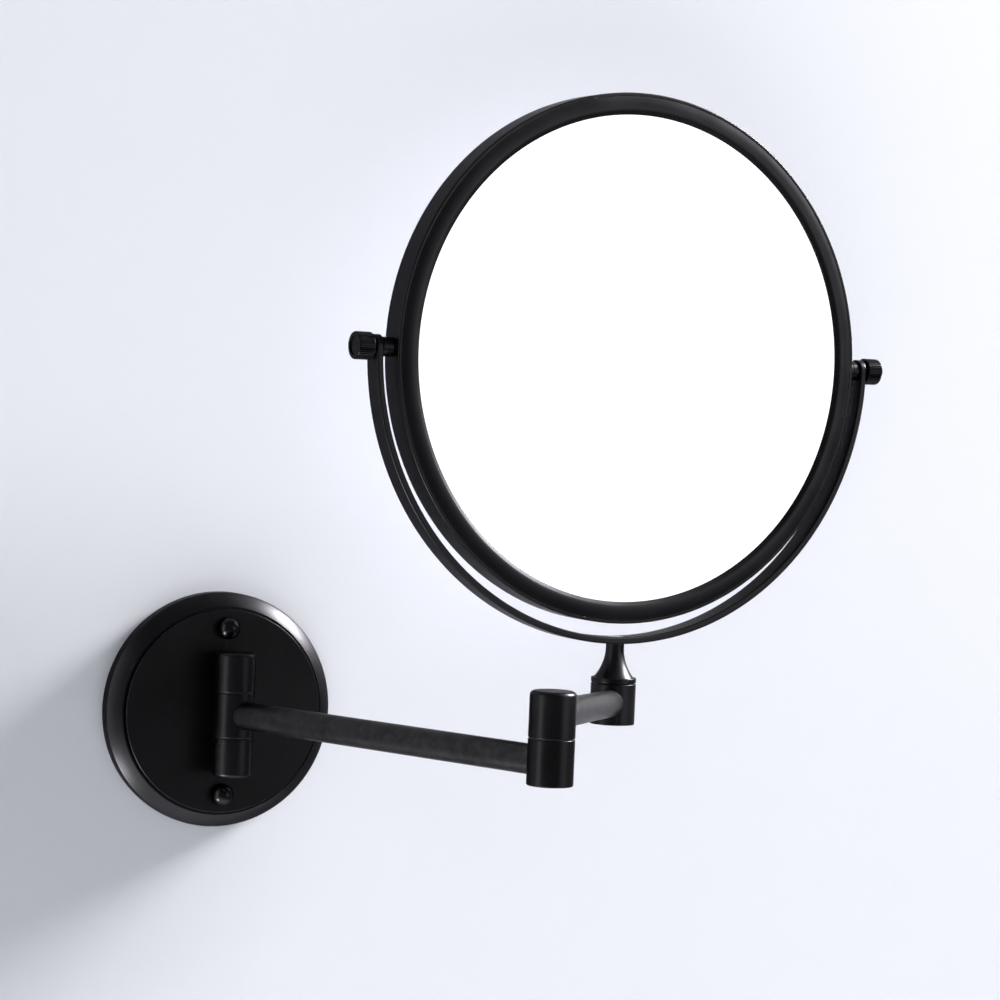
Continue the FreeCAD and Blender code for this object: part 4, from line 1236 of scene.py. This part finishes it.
class WALLMIRROR_OT_knobs(bpy.types.Operator):
    """Turn and knurl a thumb screw and set it and its twin at the pivots"""
    bl_idname = "wallmirror.knobs"
    bl_label = "Thumb screws"

    def execute(self, context):
        knob = settings().knob
        neck = settings().yoke.outer_radius + knob.gap
        end = neck + knob.length
        left = turned("thumb_screw_left", [
            (0, knob.screw_start),
            (knob.screw_radius, knob.screw_start, knob.tip_round),
            (knob.screw_radius, neck),
            (knob.neck_radius, neck),
            (knob.neck_radius, neck + knob.neck),
            (knob.radius, neck + knob.neck, knob.back_round),
            (knob.radius, end, knob.edge_round),
            (knob.dish_radius, end, knob.dish_round),
            (knob.dish_radius, end - knob.dish),
            (0, end - knob.dish),
        ], 4 * knob.grooves, closed=False)
        knurl(left, knob)
        right = twin(left, "thumb_screw_right")
        for piece, (name, side) in zip((left, right), PIVOT_SIDES):
            fit(piece, standing(PIVOT, PIVOT_AXIS * side, UP), f"knob_{name}", f"knob_{name}",
                knob_black)
        return {"FINISHED"}


# ---------------------------------------------------------------- kept parts

FINISHES = (  # a finish and the pieces that keep their own shape
    (satin_black, ("inner_arm_tube", "outer_arm_tube")),
    (zinc_plate, ("wall_bracket", "wall_studs", "ear_screws", "head_screw", "yoke_screw",
                  "head_retainer")),
    (ground_steel, ("hinge_pin", "elbow_bolt")),
    (nylon, ("hinge_washers", "elbow_washer", "head_washer")),
    (mirror_glass, ("flat_glass", "magnifying_glass")),
    (core_plastic, ("frame_core", "backing_board")),
)


class WALLMIRROR_OT_hardware(bpy.types.Operator):
    """Give the tubes, screws, washers, glasses and boards their finishes"""
    bl_idname = "wallmirror.hardware"
    bl_label = "Tubes, glass and hardware"

    def execute(self, context):
        for finish, names in FINISHES:
            for name in names:
                for holder in NODES[name].material_slots:
                    holder.material = finish()
        return {"FINISHED"}


# ---------------------------------------------------------------- stage

def surface(name, tint, smoothest, roughest, stippling):
    """Painted wall or floor: faint roller texture, unseen from behind."""
    material, tree, shader, place = blank_material(name)
    slow = noise(tree, place, (-3, 0), scale=3.0, detail=3.0)
    slow = grading(tree, slow, (-2, 0), 0.3, 0.7)
    feed(shader["Base Color"], mixed_colour(tree, (-1, 0), slow, shade(tint, 0.985), tint))
    stipple = noise(tree, place, (-3, 2), scale=420.0, detail=3.0, roughness=0.6)
    feed(shader["Roughness"], grading(tree, stipple, (-1, 2), 0.3, 0.7, smoothest, roughest))
    feed(shader["Specular IOR Level"], 0.2)
    bump(tree, shader, (1, 2), stipple, 0.03 * MM, stippling)
    behind = node(tree, "ShaderNodeNewGeometry", (3, 3)).outputs["Backfacing"]
    mix = node(tree, "ShaderNodeMixShader", (4.5, 1), Fac=behind)
    feed(mix.inputs[1], tree.nodes["Principled BSDF"].outputs["BSDF"])
    feed(mix.inputs[2], node(tree, "ShaderNodeBsdfTransparent", (3, 4)).outputs["BSDF"])
    feed(tree.nodes["Material Output"].inputs["Surface"], mix.outputs["Shader"])
    return material


def backdrop(name, low, high, place, material, opening=0.0):
    """A flat sheet of the stage between two corners, with a round opening at its origin."""
    reach = 2 * max(abs(end) for end in (*low, *high))
    nothing_selected()
    bpy.ops.mesh.primitive_circle_add(vertices=96, radius=reach)
    sheet = bpy.context.object
    sheet.name = name
    edit_all()
    if opening:
        inward = opening / reach
        bpy.ops.mesh.extrude_edges_move()
        bpy.ops.transform.resize(value=(inward, inward, 1), center_override=(0, 0, 0))
    else:
        bpy.ops.mesh.edge_face_add()
    for corner, side in ((low, (-1, 0, 0)), (low, (0, -1, 0)),
                         (high, (1, 0, 0)), (high, (0, 1, 0))):
        bpy.ops.mesh.select_all(action="SELECT")
        bpy.ops.mesh.bisect(plane_co=(*corner, 0), plane_no=side, clear_outer=True)
    object_mode()
    if sheet.data.polygons[0].normal.z < 0:
        edit_all()
        bpy.ops.mesh.flip_normals()
    sheet.data.materials.append(material)
    settle(sheet, place)


def lamp(name, power, sides, spot, target, spread):
    """A soft rectangular lamp that points from one place to another."""
    spot, target = Vector(spot), Vector(target)
    nothing_selected()
    bpy.ops.object.light_add(type="AREA", location=spot,
                             rotation=(target - spot).to_track_quat("-Z", "Y").to_euler())
    piece = bpy.context.object
    piece.name = name
    piece.data.shape = "RECTANGLE"
    piece.data.size, piece.data.size_y = sides
    piece.data.energy = power
    piece.data.spread = radians(spread)
    return piece


LAMPS = (  # name, its settings, where it points, its spread in degrees, the rays it is hidden from
    ("Key lamp", "key", PIVOT, 60, None),
    ("Front lamp", "front", HINGE, 180, "visible_glossy"),
    ("Right panel", "right", PIVOT, 180, "visible_diffuse"),
    ("Left panel", "left", HINGE, 180, "visible_diffuse"),
    ("Low lamp", "low", HINGE, 180, "visible_diffuse"),
)


def room_light(stage):
    """Even room light; the background itself is white for the camera."""
    world = bpy.data.worlds.new("Room")
    bpy.context.scene.world = world
    world.use_nodes = True
    tree = world.node_tree
    tree.nodes.clear()
    camera_ray = node(tree, "ShaderNodeLightPath", (-2, 0)).outputs["Is Camera Ray"]
    room = node(tree, "ShaderNodeBackground", (-1, 1), Color=(*stage.surround, 1.0),
                Strength=stage.surround_light)
    white = node(tree, "ShaderNodeBackground", (-1, 2), Color=(1.0, 1.0, 1.0, 1.0))
    mix = node(tree, "ShaderNodeMixShader", (0, 0), Fac=camera_ray)
    feed(mix.inputs[1], room.outputs["Background"])
    feed(mix.inputs[2], white.outputs["Background"])
    node(tree, "ShaderNodeOutputWorld", (1, 0), Surface=mix.outputs["Shader"])


def viewing_camera(stage):
    """A long lens to the left of the mirror, slightly leaning."""
    turn, dip, roll = stage.camera_turn, stage.camera_dip, stage.camera_roll
    forward = Vector((sin(turn) * cos(dip), cos(turn) * cos(dip), -sin(dip)))
    level = Vector((cos(turn), -sin(turn), 0))
    upright = level.cross(forward)
    across = level * cos(roll) + upright * sin(roll)
    upward = upright * cos(roll) - level * sin(roll)
    spot = PIVOT + Vector(stage.camera_aim) - forward * stage.camera_distance
    nothing_selected()
    bpy.ops.object.camera_add()
    camera = bpy.context.object
    camera.name = "Viewing camera"
    aimed = Matrix((across, upward, -forward)).transposed().to_4x4()
    camera.matrix_world = Matrix.Translation(spot) @ aimed
    camera.data.lens = stage.camera_lens
    bpy.context.scene.camera = camera


class WALLMIRROR_OT_stage(bpy.types.Operator):
    """Set up the wall, the floor, the lamps and the camera"""
    bl_idname = "wallmirror.stage"
    bl_label = "Stage"

    def execute(self, context):
        stage = settings().stage
        context.scene.view_settings.view_transform = "Standard"
        middle = (CAD_BOX[0].x + CAD_BOX[1].x) / 2 + stage.wall_shift
        bottom = CAD_BOX[0].z - stage.floor_drop
        top = PIVOT.z + stage.wall_top
        reach, half = stage.wall_width / 2, stage.floor_width / 2
        backdrop("Stage_wall", (middle - reach, bottom), (middle + reach, top),
                 standing(-OUT_OF_WALL * stage.wall_gap, OUT_OF_WALL, RIGHT),
                 surface("Wall paint", stage.wall, smoothest=0.55, roughest=0.75, stippling=0.25),
                 opening=settings().plate.hollow_radius)
        backdrop("Stage_floor", (-half, -half), (half, half),
                 standing(UP * bottom, UP, RIGHT),
                 surface("Floor paint", stage.floor, smoothest=0.45, roughest=0.65, stippling=0.2))
        room_light(stage)
        for name, key, target, spread, hidden_from in LAMPS:
            power, sides, spot = (getattr(stage, f"{key}_{part}")
                                  for part in ("power", "size", "spot"))
            piece = lamp(name, power, sides, spot, target, spread)
            if hidden_from:
                setattr(piece, hidden_from, False)
        viewing_camera(stage)
        return {"FINISHED"}


# ---------------------------------------------------------------- add-on

class WALLMIRROR_PT_steps(bpy.types.Panel):
    """Lists the steps that dress the wall mirror"""
    bl_label = "Wall mirror"
    bl_idname = "WALLMIRROR_PT_steps"
    bl_space_type = "VIEW_3D"
    bl_region_type = "UI"
    bl_category = "Wall mirror"

    def draw(self, context):
        layout = self.layout
        for step in STEPS:
            layout.operator(step.bl_idname)
        for label in MirrorSettings.__annotations__:
            group = getattr(context.scene.wall_mirror, label)
            box = layout.box()
            box.label(text=label.title())
            for key in group.__annotations__:
                box.prop(group, key)


STEPS = (
    WALLMIRROR_OT_stage,
    WALLMIRROR_OT_plate,
    WALLMIRROR_OT_dome_nuts,
    WALLMIRROR_OT_hinge_ears,
    WALLMIRROR_OT_swivel_barrel,
    WALLMIRROR_OT_elbow,
    WALLMIRROR_OT_head_barrel,
    WALLMIRROR_OT_stem,
    WALLMIRROR_OT_half_ring,
    WALLMIRROR_OT_frame,
    WALLMIRROR_OT_bosses,
    WALLMIRROR_OT_knobs,
    WALLMIRROR_OT_hardware,
)
SETTINGS = (PlateSettings, BarrelSettings, YokeSettings, FrameSettings, KnobSettings,
            FinishSettings, StageSettings, MirrorSettings)


def register():
    for item in (*SETTINGS, *STEPS, WALLMIRROR_PT_steps):
        bpy.utils.register_class(item)
    bpy.types.Scene.wall_mirror = PointerProperty(name="Wall mirror", type=MirrorSettings)


def unregister():
    del bpy.types.Scene.wall_mirror
    for item in reversed((*SETTINGS, *STEPS, WALLMIRROR_PT_steps)):
        bpy.utils.unregister_class(item)


def main():
    register()
    for step in STEPS:
        family, name = step.bl_idname.split(".")
        getattr(getattr(bpy.ops, family), name)()


if __name__ == "__main__":
    main()
